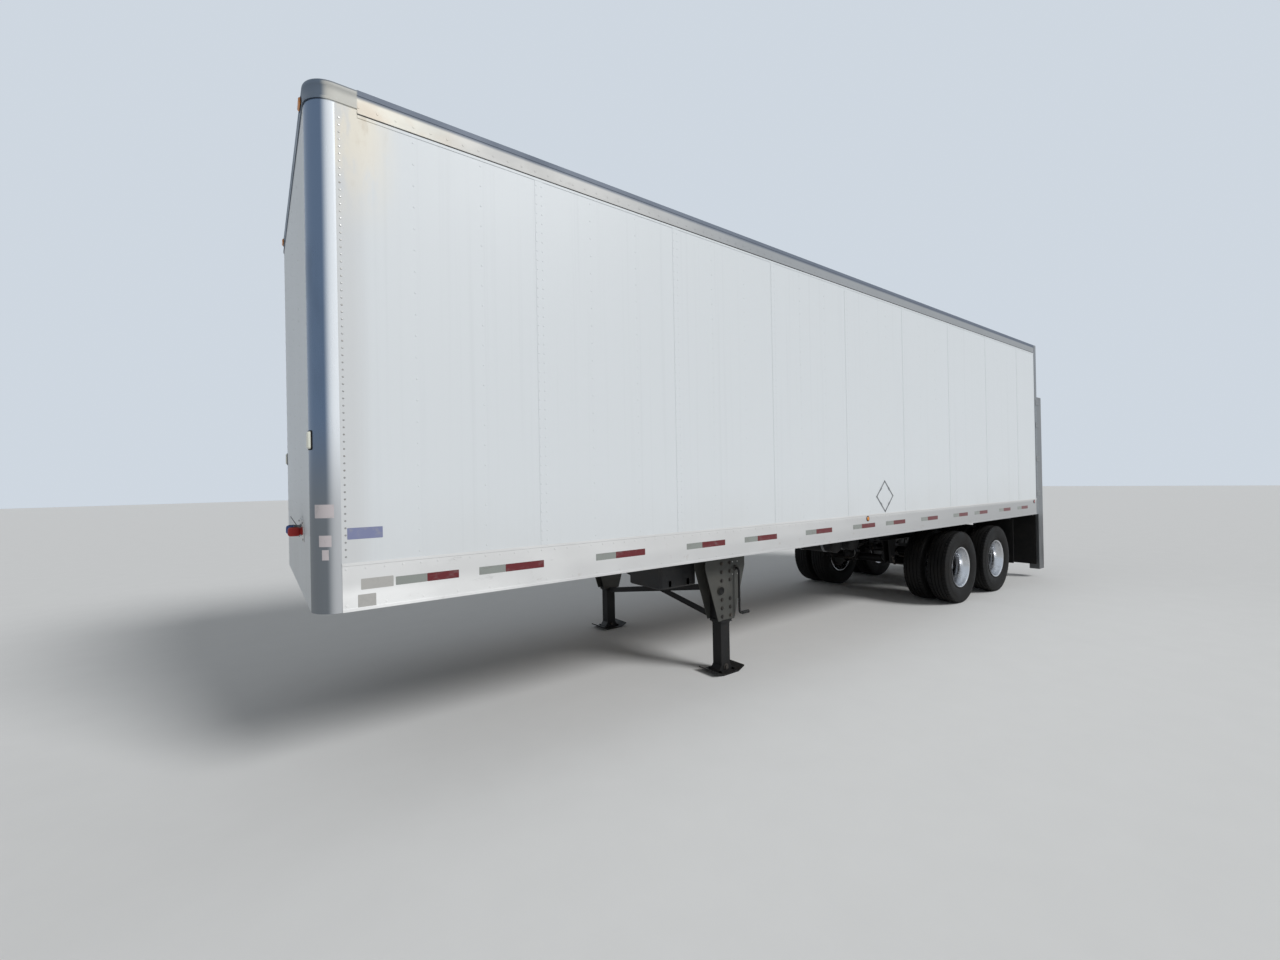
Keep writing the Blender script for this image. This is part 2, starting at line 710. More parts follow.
def make_finishes(looks):
    """Every finish by its name; the record's slots come first, then what only small parts wear."""
    dust = rgb(*looks.dust)
    recipes = {
        "white_panel": (white_panel, looks.panel),
        "polished_steel": (polished_steel, looks.corner),
        "mill_aluminium": (mill_aluminium, looks.rail),
        "hardwood": (hardwood, (0.34, 0.23, 0.13)),
        "chassis_black": (road_paint, (0.009, 0.009, 0.0095), dust, 0.07, 0.35),
        "dusty_grey": (road_paint, (0.062, 0.063, 0.058), dust, 0.35, 0.4),
        "galvanised_steel": (galvanised_steel, (0.26, 0.275, 0.29)),
        "spring_steel": (rough_iron, (0.03, 0.027, 0.025), 40.0),
        "cast_iron": (rough_iron, (0.035, 0.032, 0.03), 70.0),
        "black_rubber": (rubber, (0.007, 0.007, 0.007), 0.3),
        "gate_steel": (chalky_steel, looks.gate),
        "gate_dark": (road_paint, (0.03, 0.031, 0.033), dust, 0.3, 0.5),
        "coupling_red": (road_paint, (0.42, 0.02, 0.018), dust, 0.3, 0.2),
        "amber_lens": (lens, (0.8, 0.27, 0.02)),
        "red_lens": (lens, (0.4, 0.008, 0.01)),
        "bleached_lens": (lens, (0.9, 0.9, 0.78)),
        "tyre": (rubber, (0.0055, 0.0055, 0.0055), 0.2),
        "polished_rim": (polished_rim, looks.wheel),
        "strip_red": (reflective, looks.strip, 0.35),
        "strip_white": (reflective, (0.27, 0.29, 0.27), 0.45),
        "rail_film": (blank_film, (0.42, 0.41, 0.39)),
        "pale_film": (blank_film, (0.55, 0.5, 0.51)),
        "blue_film": (blank_film, (0.2, 0.22, 0.36)),
        "coupling_blue": (road_paint, (0.03, 0.09, 0.32), dust, 0.3, 0.2),
        "bolt_zinc": (plated_bolt, (0.36, 0.36, 0.35)),
    }
    return {
        name: make(name, tuple(colour), *settings)
        for name, (make, colour, *settings) in recipes.items()
    }


FINISHES = {}


# Making pieces
SHARP_ANGLE = math.radians(38.0)


def put(name, parts, replaces=(), body=TRAILER):
    """Makes one piece of (surface, finish) pairs, hung on its body. Its first finish is its slot
    where the record has one of that name.
    """
    finishes = list(dict.fromkeys(finish for _, finish in parts))
    whole = joined([surface for surface, _ in parts])
    finish_of = [finish for surface, finish in parts for _ in surface.faces]
    counts = [len(face) for face in whole.faces]
    sizes = np.repeat([face.shape[1] for face in whole.faces], counts)
    mesh = bpy.data.meshes.new(name)
    mesh.vertices.add(len(whole.points))
    mesh.vertices.foreach_set("co", whole.points.ravel())
    mesh.loops.add(int(sizes.sum()))
    mesh.loops.foreach_set("vertex_index", np.concatenate([face.ravel() for face in whole.faces]))
    mesh.polygons.add(len(sizes))
    mesh.polygons.foreach_set("loop_start", np.cumsum(sizes) - sizes)
    looks = np.repeat([finishes.index(finish) for finish in finish_of], counts)
    mesh.polygons.foreach_set("material_index", looks)
    mesh.polygons.foreach_set("use_smooth", np.ones(len(sizes), bool))
    for finish in finishes:
        mesh.materials.append(FINISHES[finish])
    mesh.update(calc_edges=True)
    mesh.validate()
    mesh.set_sharp_from_angle(angle=SHARP_ANGLE)
    made = bpy.data.objects.new(name, mesh)
    bpy.context.scene.collection.objects.link(made)
    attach(made, body)
    slot = finishes[0]
    slot in SLOTS
    if replaces:
        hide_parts(*replaces)


def put_pair(name, parts, replaces=()):
    """Makes one piece of the trailer's left parts and their mirror images on its right."""
    put(name, [(surface.both(), finish) for surface, finish in parts], replaces)


# Nose and side panels
CAP_PROUD = NOSE - NOSE_SKIN
CAP_FLANGE = 0.060
CAP_THICKNESS = 0.008
CAP_CURL = 0.012
CAP_RECESS = 0.0025
CAP_LIP = 0.014
CAP_BROW = 0.030
CAP_EASE = 0.004
SEAM_MARGIN = 0.020
RAIL_MARGIN = 0.035
RAIL_PITCH = 0.100
TOP_ROW = 0.060
LOW_ROW_PITCH = SPLICE_PITCH / 6
NOSE_PITCH = 0.080
NOSE_COLUMNS = 5
FRONT_SHARE = 0.62
RAIL_RIVET_SPREAD = 1.25
RAIL_RIVET_RISE = 1.1
TOP_LIP = 0.032
TOP_STEP = 0.017
TOP_SEAL = 0.007
TOP_BEAD = 0.009
EASE = 0.003
THIN_BEVEL = 0.0005


def round_the_post(turn, outer, inner, low, high):
    """A wall round the left corner post: in plan an arc of the outer radius over the angles, and
    the same arc back at the inner radius.
    """
    circle = np.column_stack([np.cos(turn), np.sin(turn)])
    outline = np.vstack([outer * circle, inner * circle[::-1]])
    return prism(outline, low, high).moved(*POST_CENTRE)


def corner_skin():
    """The left corner post: a quarter ring in plan, carried up from the rail to the roof."""
    inner = CORNER_RADIUS - POST_WALL
    turn = np.linspace(0, np.pi / 2, 25)
    return round_the_post(turn, CORNER_RADIUS, inner, POST_LOW.z, POST_HIGH.z)


def nose_path(rear, steps=16):
    """The cap's plan as points and outward normals: a straight, a quarter circle round the left
    post, the nose, and the same on the right.
    """
    turn = np.linspace(np.pi / 2, 0, steps + 1)
    normal = np.column_stack([np.cos(turn), np.sin(turn)])
    arc = POST_CENTRE + (CORNER_RADIUS + CAP_PROUD) * normal
    points = np.vstack([[(rear, FACE_Y)], arc, arc[::-1] * (1, -1), [(rear, -FACE_Y)]])
    normals = np.vstack([[(0, 1)], normal, normal[::-1] * (1, -1), [(0, -1)]])
    return points, normals


def cap_surface():
    """The nose cap: its section of (depth inwards, height), with a shallow recess along its face
    and a quarter circle at its top edge, carried round the plan.
    """
    points, normals = nose_path(CAP_LOW.x)
    low, high = CAP_LOW.z, CAP_HIGH.z
    turn = np.linspace(0, np.pi / 2, 5)
    curl = CAP_CURL * np.column_stack([1 - np.cos(turn), np.sin(turn) - 1]) + (0, high)
    lip, brow = low + CAP_LIP, high - CAP_BROW
    face = [(CAP_PROUD, low), (0, low), (0, lip), (CAP_RECESS, lip + CAP_EASE)]
    face += [(CAP_RECESS, brow - CAP_EASE), (0, brow)]
    flange = [(CAP_FLANGE, high), (CAP_FLANGE, high - CAP_THICKNESS)]
    flange += [(CAP_PROUD, high - CAP_THICKNESS)]
    depth, height = np.vstack([face, curl, flange]).T
    plan = points[:, None] - normals[:, None] * depth[None, :, None]
    rows = np.dstack([plan, np.broadcast_to(height, plan.shape[:2])])
    return grid(rows[::-1], around=True, capped=True)


def top_rail_surface():
    """The left top rail: its section of (y, z), with a bead below the web, a lip above it and a
    flange over the roof, carried along X. Under it come a seal and a narrow step on the wall.
    """
    start, end = TOP_LOW.x, CAP_LOW.x
    foot, low, high = TOP_LOW.z + TOP_STEP, TOP_LOW.z + TOP_STEP + TOP_SEAL, CAP_HIGH.z
    lip, under = high - TOP_LIP, high - CAP_THICKNESS
    section = [
        (SKIN_Y, low), (FACE_Y, low), (FACE_Y, low + TOP_BEAD), (WEB_Y, low + TOP_BEAD + EASE),
        (WEB_Y, lip - EASE), (FACE_Y, lip), (FACE_Y, high - EASE), (FACE_Y - EASE, high),
        (FACE_Y - CAP_FLANGE, high), (FACE_Y - CAP_FLANGE, under), (SKIN_Y, under),
    ]
    rail = forwards(prism(section, start, end))
    seal = box((start, SKIN_Y, foot), (end, WEB_Y, low), THIN_BEVEL)
    step = box((start, SKIN_Y, TOP_LOW.z), (end, SKIN_Y + 2 * SPLICE_PROUD, foot), THIN_BEVEL)
    return rail, seal, step


class TRAILER_OT_nose(bpy.types.Operator):
    """Bright corner posts, the cap round the nose's top edge and the top rails"""

    bl_idname = "trailer.nose"
    bl_label = "Nose Corners, Cap and Top Rails"

    def execute(self, context):
        put_pair("corner_post_skins", [(corner_skin(), "polished_steel")], ["corner_posts"])
        put("nose_cap_skin", [(cap_surface(), "mill_aluminium")], ["nose_cap"])
        rail, seal, step = top_rail_surface()
        parts = [(rail, "mill_aluminium"), (seal, "gate_dark"), (step, "white_panel")]
        put_pair("top_rail_skins", parts, ["top_rails"])
        return {"FINISHED"}


def splice_places():
    """Middles of the joint strips, counted back from the side wall's front edge."""
    count = math.ceil((WALL_HIGH.x - WALL_LOW.x) / SPLICE_PITCH) - 1
    return WALL_HIGH.x - SPLICE_PITCH * np.arange(1, count + 1)


class TRAILER_OT_rivets(bpy.types.Operator):
    """Rivets of the side joints, rails and nose, as low six-sided heads"""

    bl_idname = "trailer.rivets"
    bl_label = "Rivets"

    def execute(self, context):
        sizes = context.scene.trailer_sizes
        pitch, radius, height = sizes.rivet_pitch, sizes.rivet_radius, sizes.rivet_height
        front, rear = WALL_HIGH.x - SEAM_MARGIN, WALL_LOW.x + SEAM_MARGIN
        seams = [(rear, SKIN_Y, pitch)]
        for x in splice_places():
            for aside in (-SEAM_MARGIN, SEAM_MARGIN):
                seams.append((x + aside, SKIN_Y + SPLICE_PROUD, pitch))
            for share in (1 / 3, 2 / 3):
                seams.append((x + share * SPLICE_PITCH, SKIN_Y, 2 * pitch))
        low, high = RAIL_HIGH.z + RAIL_MARGIN, TOP_LOW.z - RAIL_MARGIN
        columns = [evenly((x, y, low), (x, y, high), step) for x, y, step in seams]
        rivet = outwards(dome(radius, height))
        wall = rivet.repeated(np.vstack(columns))
        seam = evenly((front, SKIN_Y, low), (front, SKIN_Y, high), FRONT_SHARE * pitch)
        put_pair("wall_rivets", [(wall, "white_panel"), (rivet.repeated(seam), "bolt_zinc")])

        heights = (
            (RAIL_HIGH.z - RAIL_MARGIN, RAIL_PITCH),
            (RAIL_LOW.z + RAIL_MARGIN, LOW_ROW_PITCH),
            (TOP_LOW.z + TOP_ROW, RAIL_PITCH),
        )
        rows = [evenly((front, WEB_Y, z), (rear, WEB_Y, z), step) for z, step in heights]
        larger = outwards(dome(RAIL_RIVET_SPREAD * radius, RAIL_RIVET_RISE * height))
        rail = larger.repeated(np.vstack(rows)).both()
        edge = POST_CENTRE[1] - SEAM_MARGIN
        low, high = POST_LOW.z + RAIL_MARGIN, CAP_LOW.z - RAIL_MARGIN
        columns = [
            evenly((NOSE_SKIN, y, low), (NOSE_SKIN, y, high), NOSE_PITCH)
            for y in np.linspace(-edge, edge, NOSE_COLUMNS)
        ]
        nose = forwards(dome(radius, height)).repeated(np.vstack(columns))
        put("rail_rivets", [(rail, "mill_aluminium"), (nose, "white_panel")])
        return {"FINISHED"}


# Reflecting strips and blank patches
# How far behind the nose each strip along the rail ends
STRIP_ENDS = (
    0.791, 1.378, 2.259, 3.155, 3.866, 4.777, 5.632, 6.328, 7.190, 8.113, 8.800, 9.700, 10.455,
)
FIRST_RED = 0.191
REAR_REDS = 4
FILM_CORNER = 0.003
# Blank films on the left side: rear, front, low and high
RAIL_PATCHES = ((5.210, 5.381, 1.247, 1.309), (5.304, 5.398, 1.141, 1.220))
WALL_PATCH = (5.263, 5.446, 1.537, 1.602)
# Blank films on the left post: first and last angle from straight ahead, low and high
POST_LABELS = ((31, 76, 1.663, 1.738), (42, 70, 1.503, 1.566), (49, 64, 1.429, 1.486))


def film(x0, x1, y0, y1, thickness):
    """A thin sheet with round corners that lies on Z = 0."""
    return prism(rounded(x0, y0, x1, y1, FILM_CORNER, 2), 0, thickness)


def side_film(x0, x1, z0, z1, y, thickness):
    """A thin sheet stuck on the left side at y."""
    return outwards(film(x0, x1, -z1, -z0, thickness)).moved(y=y)


def post_film(start, end, z0, z1, thickness):
    """A thin sheet stuck round the left corner post between two angles."""
    turn = np.radians(np.linspace(start, end, 13))
    return round_the_post(turn, CORNER_RADIUS + thickness, CORNER_RADIUS - thickness, z0, z1)


class TRAILER_OT_strips(bpy.types.Operator):
    """Red and white reflecting strips along both rails and across the rear bar, blank films"""

    bl_idname = "trailer.strips"
    bl_label = "Reflecting Strips"

    def execute(self, context):
        sizes = context.scene.trailer_sizes
        thickness = sizes.strip_thickness
        long_red, long_white, half = sizes.strip_red, sizes.strip_white, sizes.strip_width / 2
        middle = RAIL_LOW.z + sizes.strip_height
        z0, z1 = middle - half, middle + half
        reds, whites = [], []
        for end in STRIP_ENDS:
            rear = NOSE - end
            split = rear + (FIRST_RED if end == STRIP_ENDS[0] else long_red)
            reds.append(side_film(rear, split, z0, z1, WEB_Y, thickness))
            whites.append(side_film(split, split + long_white, z0, z1, WEB_Y, thickness))
        put_pair("rail_strips", [(joined(reds), "strip_red"), (joined(whites), "strip_white")])

        pitch = long_red + long_white
        start = -(REAR_REDS * pitch - long_white) / 2
        starts = [(start + pitch * i, 0, 0) for i in range(REAR_REDS)]
        red = film(0, long_red, -half, half, thickness).repeated(starts)
        white = film(long_red, pitch, -half, half, thickness).repeated(starts[:-1])
        bar = (BUMPER_LOW.x, 0, (BUMPER_LOW.z + BUMPER_HIGH.z) / 2)
        red, white = [backwards(strip).moved(*bar) for strip in (red, white)]
        put("rear_strips", [(red, "strip_red"), (white, "strip_white")])

        patches = [side_film(*place, WEB_Y, thickness) for place in RAIL_PATCHES]
        wall = side_film(*WALL_PATCH, SKIN_Y, thickness)
        labels = [post_film(*place, thickness) for place in POST_LABELS]
        parts = [(joined(patches), "rail_film"), (wall, "blue_film"), (joined(labels), "pale_film")]
        put("blank_films", parts)
        return {"FINISHED"}


# Wheels
TYRE_WIDTH = 0.270
TREAD_BLOCKS = 60
TREAD_DEPTH = 0.013
GROOVE_HALF = 0.0055
GROOVE_EASE = 0.001
GROOVES = (0.070, 0.0235)
CROWN = 0.0045
CROWN_HALF = 0.1
CUT_DEPTH = 0.008
# Where a cut across the tread starts, is deep, is deep still and ends, as shares of its block
CUT_TURNS = (0.0, 0.03, 0.20, 0.23)
RIM_RADIUS = 0.2855
RIM_LIP = 0.013
WHEEL_SIDES = 80
WHEEL_NUTS = 10
NUT_CIRCLE = 0.1429
HAND_HOLES = 10
HAND_HOLE_CIRCLE = 0.2035
HAND_HOLE_RADIUS = 0.0205
HUB_EDGE = 0.1125
DISC_EDGE = 0.176
DISC_JOIN = RIM_RADIUS - 0.054
DISC_THICKNESS = 0.023
DISC_DISH = 0.050
DISC_REST = 0.001
HUB_RADIUS = 0.092
HUB_STEP = 0.022
CAP_SCREWS = 6
CAP_SCREW_CIRCLE = 0.074
SMALL_SCREW = (0.013, 0.006)
DRUM_RADIUS = 0.209
DRUM_DEPTH = 0.210
DRUM_FLANGE = -0.046
DRUM_WALL = 0.018
DRUM_FINS = 5


def on_axle(surface, place, way):
    """Lays a surface round Z about an axle's line, its top to the left or to the right."""
    laid = outwards(surface) if way > 0 else inwards(surface)
    return laid.moved(*place)


def sector_walk(count, turn_steps, radial_steps, inner, outer):
    """Points (angle, radius) round one sector of a disc, anticlockwise, without repeats."""
    half = np.pi / count
    turns = np.linspace(-half, half, turn_steps + 1)
    radii = np.linspace(inner, outer, radial_steps + 1)
    low = np.column_stack([turns[:-1], np.full(turn_steps, inner)])
    right = np.column_stack([np.full(radial_steps, half), radii[:-1]])
    high = np.column_stack([turns[::-1][:-1], np.full(turn_steps, outer)])
    left = np.column_stack([np.full(radial_steps, -half), radii[::-1][:-1]])
    return np.vstack([low, right, high, left])


def dish(radius):
    """The wheel disc's height over its mounting face: 0 over the nuts, then it rises to the
    barrel as the share of the way there to the power 1.4.
    """
    share = np.clip((radius - DISC_EDGE) / (DISC_JOIN - DISC_EDGE), 0, 1)
    return DISC_REST + DISC_DISH * share**1.4


def disc_face(lift, rows=4):
    """One face of the disc with its hand holes. In each sector a point runs straight from the
    hole's rim to the sector's edge, and its height is the dish at its radius plus the lift.
    """
    walk = sector_walk(HAND_HOLES, 8, 6, DISC_EDGE, DISC_JOIN)
    edge = walk[:, 1:] * np.column_stack([np.sin(walk[:, 0]), np.cos(walk[:, 0])])
    hole = np.array([0, HAND_HOLE_CIRCLE])
    away = edge - hole
    rim = hole + HAND_HOLE_RADIUS * away / np.linalg.norm(away, axis=1, keepdims=True)
    share = np.linspace(0, 1, rows)[:, None, None]
    flat = rim * (1 - share) + edge * share
    points = np.dstack([flat, dish(np.linalg.norm(flat, axis=-1)) + lift])
    return grid(points[::-1], around=True).turned(HAND_HOLES)


def hand_hole_walls(steps=28):
    """The hand holes' inner walls: a circle at the disc's back joined to the same at its front."""
    turn = np.linspace(0, 2 * np.pi, steps, endpoint=False)
    x = HAND_HOLE_RADIUS * np.cos(turn)
    y = HAND_HOLE_CIRCLE + HAND_HOLE_RADIUS * np.sin(turn)
    z = dish(np.hypot(x, y))
    rows = [np.column_stack([x, y, z + lift]) for lift in (DISC_THICKNESS, 0)]
    return grid(np.stack(rows), around=True).turned(HAND_HOLES)


def wheel_surface(half_spacing, width):
    """One disc wheel standing on Z = 0: its barrel's section goes round Z, and its disc is flat
    under the nuts and dished out to the barrel.
    """
    low, high = half_spacing - width / 2, half_spacing + width / 2
    outside = [
        (-0.016, low), (0.001, low), (0.001, low + RIM_LIP), (-0.014, low + RIM_LIP + 0.004),
        (-0.018, low + 0.050), (-0.046, low + 0.085), (-0.046, high - 0.100),
        (-0.018, high - 0.050), (-0.014, high - RIM_LIP - 0.004), (0.001, high - RIM_LIP),
    ]
    inside = [
        (0.001, high), (-0.004, high), (-0.014, high - 0.006), (-0.022, high - 0.030),
        (-0.030, high - 0.060), (-0.056, high - 0.105), (-0.056, low + 0.088),
        (-0.028, low + 0.048), (-0.022, low + 0.010),
    ]
    barrel = revolved(np.array(outside + inside) + (RIM_RADIUS, 0), WHEEL_SIDES, closed=True)
    back, front = DISC_REST, DISC_REST + DISC_THICKNESS
    ring = [(DISC_EDGE, back), (HUB_EDGE, back), (HUB_EDGE, front - 0.002)]
    ring += [(HUB_EDGE + 0.002, front), (DISC_EDGE, front)]
    middle = revolved(ring, WHEEL_SIDES).turned_over()
    disc_sides = disc_face(DISC_THICKNESS) + disc_face(0).turned_over()
    return barrel + middle + disc_sides + hand_hole_walls()


def tyre_surface(radius):
    """A tyre round Z: its section's radius, less the tread's cuts where a row and a turn meet.
    The cuts run from the wall's last row, there half as deep, to the outer groove.
    """
    half = TYRE_WIDTH / 2
    wall = [
        (0.0005, -0.0370), (0.012, -0.0240), (0.022, -0.0235), (0.030, -0.0200),
        (0.033, -0.0175), (0.060, -0.0085), (0.085, -0.0040), (0.110, -0.0005),
        (0.130, 0.0000), (0.150, -0.0010), (0.152, -0.0035), (0.170, -0.0045),
        (0.188, -0.0075), (0.205, -0.0100),
    ]
    crown = radius - CROWN
    shoulder = [(crown - 0.012, half - 0.0115), (crown - 0.002, half - 0.016)]
    shoulder.append((crown, half - 0.024))
    tread = [
        (radius - drop - CROWN * (y / CROWN_HALF) ** 2, y)
        for middle in GROOVES
        for y, drop in (
            (middle + GROOVE_HALF, 0), (middle + GROOVE_HALF - GROOVE_EASE, TREAD_DEPTH),
            (middle - GROOVE_HALF + GROOVE_EASE, TREAD_DEPTH), (middle - GROOVE_HALF, 0),
        )
    ]
    upper = np.vstack([np.array(wall) + (RIM_RADIUS, half), shoulder, tread])
    profile = np.vstack([upper, upper[::-1] * (1, -1)])
    share = np.zeros(len(upper))
    share[len(wall) - 1] = 0.5
    share[len(wall):len(wall) + len(shoulder) + 1] = 1.0
    share = np.concatenate([share, share[::-1]])
    pitch = 2 * np.pi / TREAD_BLOCKS
    starts = np.arange(TREAD_BLOCKS)[:, None] * pitch
    turn = (starts + pitch * np.array(CUT_TURNS)).ravel()
    cut = np.tile([0.0, 1.0, 1.0, 0.0], TREAD_BLOCKS)
    reach = profile[:, :1] - CUT_DEPTH * share[:, None] * cut
    points = np.stack([reach * np.cos(turn), reach * np.sin(turn), profile[:, 1:] + 0 * turn], -1)
    return grid(points[::-1], around=True, along=True)


def hub_surface(reach):
    """The hub round Z: a stepped drum, a bolted flange and the oil cap."""
    profile = [
        (0.1120, DRUM_FLANGE), (0.1120, 0.010), (0.104, 0.016), (HUB_RADIUS, 0.026),
        (HUB_RADIUS - 0.004, reach - 0.045), (0.083, reach - 0.036), (0.083, reach - 0.026),
        (0.080, reach - HUB_STEP), (0.066, reach - HUB_STEP), (0.060, reach - 0.004),
        (0.055, reach), (0.030, reach), (0.028, reach - 0.003), (0.0, reach - 0.003),
    ]
    return revolved(profile, 48)


def drum_surface():
    """The brake drum below the hub's flange: a finned section round Z with an open back."""
    low = DRUM_FLANGE - DRUM_DEPTH
    neck = DRUM_RADIUS - 0.008
    step = (DRUM_DEPTH - 0.09) / DRUM_FINS
    profile = [(0.060, DRUM_FLANGE - 0.030), (DRUM_RADIUS - DRUM_WALL, DRUM_FLANGE - 0.030)]
    profile += [(DRUM_RADIUS - DRUM_WALL, low), (DRUM_RADIUS, low), (DRUM_RADIUS, low + 0.030)]
    profile += [(neck, low + 0.034)]
    for z in low + 0.04 + step * np.arange(DRUM_FINS):
        profile += [(neck, z), (DRUM_RADIUS - 0.001, z + 0.002)]
        profile += [(DRUM_RADIUS - 0.001, z + step - 0.014), (neck, z + step - 0.012)]
    profile += [(neck, DRUM_FLANGE - 0.030), (DRUM_RADIUS - 0.030, DRUM_FLANGE - 0.002)]
    profile += [(0.060, DRUM_FLANGE - 0.002)]
    return revolved(profile, 64, closed=True)


def wheel_nut():
    """A flanged nut with the end of its stud, standing on Z = 0."""
    flange = revolved([(0.022, 0), (0.021, 0.006), (0.015, 0.007)], 18)
    stud = revolved([(0.0105, 0), (0.0105, 0.036), (0.008, 0.039), (0, 0.039)], 10)
    return hex_head(0.033, 0.022) + flange + stud


class TRAILER_OT_wheels(bpy.types.Operator):
    """Twin tyres with cut treads, dished wheels with hand holes, hubs and drums"""

    bl_idname = "trailer.wheels"
    bl_label = "Wheels"

    def execute(self, context):
        for axle in AXLES:
            for name, side in SIDES.items():
                self.twin_wheels(f"{axle}_{name}", side)
        return {"FINISHED"}

    def twin_wheels(self, end, side):
        """The two tyres, two wheels, nuts, hub and drum at one end of an axle."""
        body = f"wheels_{end}"
        tyre_low, tyre_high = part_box(f"tyres_{end}")
        rim_low, rim_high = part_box(f"rims_{end}")
        hub_low, hub_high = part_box(f"hub_{end}")
        place = middle_of(f"tyres_{end}")
        spacing = tyre_high.y - tyre_low.y - TYRE_WIDTH
        width = rim_high.y - rim_low.y - spacing
        reach = max(abs(hub_low.y), abs(hub_high.y)) - abs(place.y)

        tyre = tyre_surface(AXLE_HEIGHT)
        tyres = tyre.repeated([(0, 0, -spacing / 2), (0, 0, spacing / 2)])
        put(f"{end}_tyres", [(on_axle(tyres, place, side), "tyre")], [f"tyres_{end}"], body)

        wheel = wheel_surface(spacing / 2, width)
        wheels = on_axle(wheel, place, side) + on_axle(wheel, place, -side)
        nuts = wheel_nut().moved(x=NUT_CIRCLE, z=DISC_REST + DISC_THICKNESS).turned(WHEEL_NUTS)
        parts = [(wheels, "polished_rim"), (on_axle(nuts, place, side), "bolt_zinc")]
        put(f"{end}_wheels", parts, [f"rims_{end}"], body)

        bolt = hex_head(*SMALL_SCREW).moved(x=CAP_SCREW_CIRCLE, z=reach - HUB_STEP)
        bolts = on_axle(bolt.turned(CAP_SCREWS), place, side)
        iron = on_axle(hub_surface(reach) + drum_surface(), place, side)
        put(f"{end}_hub", [(iron, "cast_iron"), (bolts, "bolt_zinc")], [f"hub_{end}"], body)


# Landing gear
LEG_X = (TUBE_LOW.x + TUBE_HIGH.x) / 2
LEG_HALF = (TUBE_HIGH.x - TUBE_LOW.x) / 2
LEG_Y = TUBE_HIGH.y - LEG_HALF
LEG_FACE = TUBE_HIGH.y
CASE_LENGTH = 0.110
CASE_WIDTH = 0.130
CASE_LOW = 0.890
CASE_HIGH = 1.080
LID_HALF = 0.042
LID_PROUD = 0.004
LID_MARGIN = 0.025
# How far the lid's screws stand from the shaft, along and up
LID_SCREW_PLACE = (0.033, 0.06)
CASE_RIBS = 4
CASE_RIB_HALF = 0.004
CASE_RIB_PITCH = 0.04
SHAFT_HEIGHT = 0.985
CRANK_RADIUS = 0.011
CRANK_BEND = 0.03
# A direction that no stretch of the crank's rod runs along
CRANK_UP = (0.3, 0.2, 0.93)
SLEEVE_SHARE = 1.45
COLLAR_HALF = 0.078
GUIDE_HALF = 0.062
SHOE_EDGE_AHEAD = 0.085
SHOE_EDGE_HALF = 0.090
SHOE_PIN_HEIGHT = 0.050
SHOE_PIN_RADIUS = 0.019
SHOE_PIN_REACH = 0.075
WING_LIP = 0.014
BOSS_AHEAD = 0.075
BOSS_HEIGHT = 0.790
WING_BOLT_ASIDE = 0.055
WING_BOLT_HEIGHTS = (0.54, 0.62, 0.70, 0.88, 0.96, 1.04)
TOP_BOLT_ASIDES = (-0.21, -0.14, 0.14, 0.21)
TOP_BOLT_HEIGHT = 1.13


def crank_surface(shaft, grip):
    """The crank's rod: out of the gear case, down, and back along the trailer to its sleeve."""
    corners = [
        (shaft[0], shaft[1] - 0.02, shaft[2]), (shaft[0], grip[1], shaft[2]),
        (shaft[0], grip[1], grip[2]), grip,
    ]
    rod = tube(bent(corners, CRANK_BEND, 8), CRANK_RADIUS, 14, up=CRANK_UP)
    sleeve = [(shaft[0] - 0.035, grip[1], grip[2]), (grip[0] + 0.004, grip[1], grip[2])]
    return rod + tube(sleeve, SLEEVE_SHARE * CRANK_RADIUS, 16)


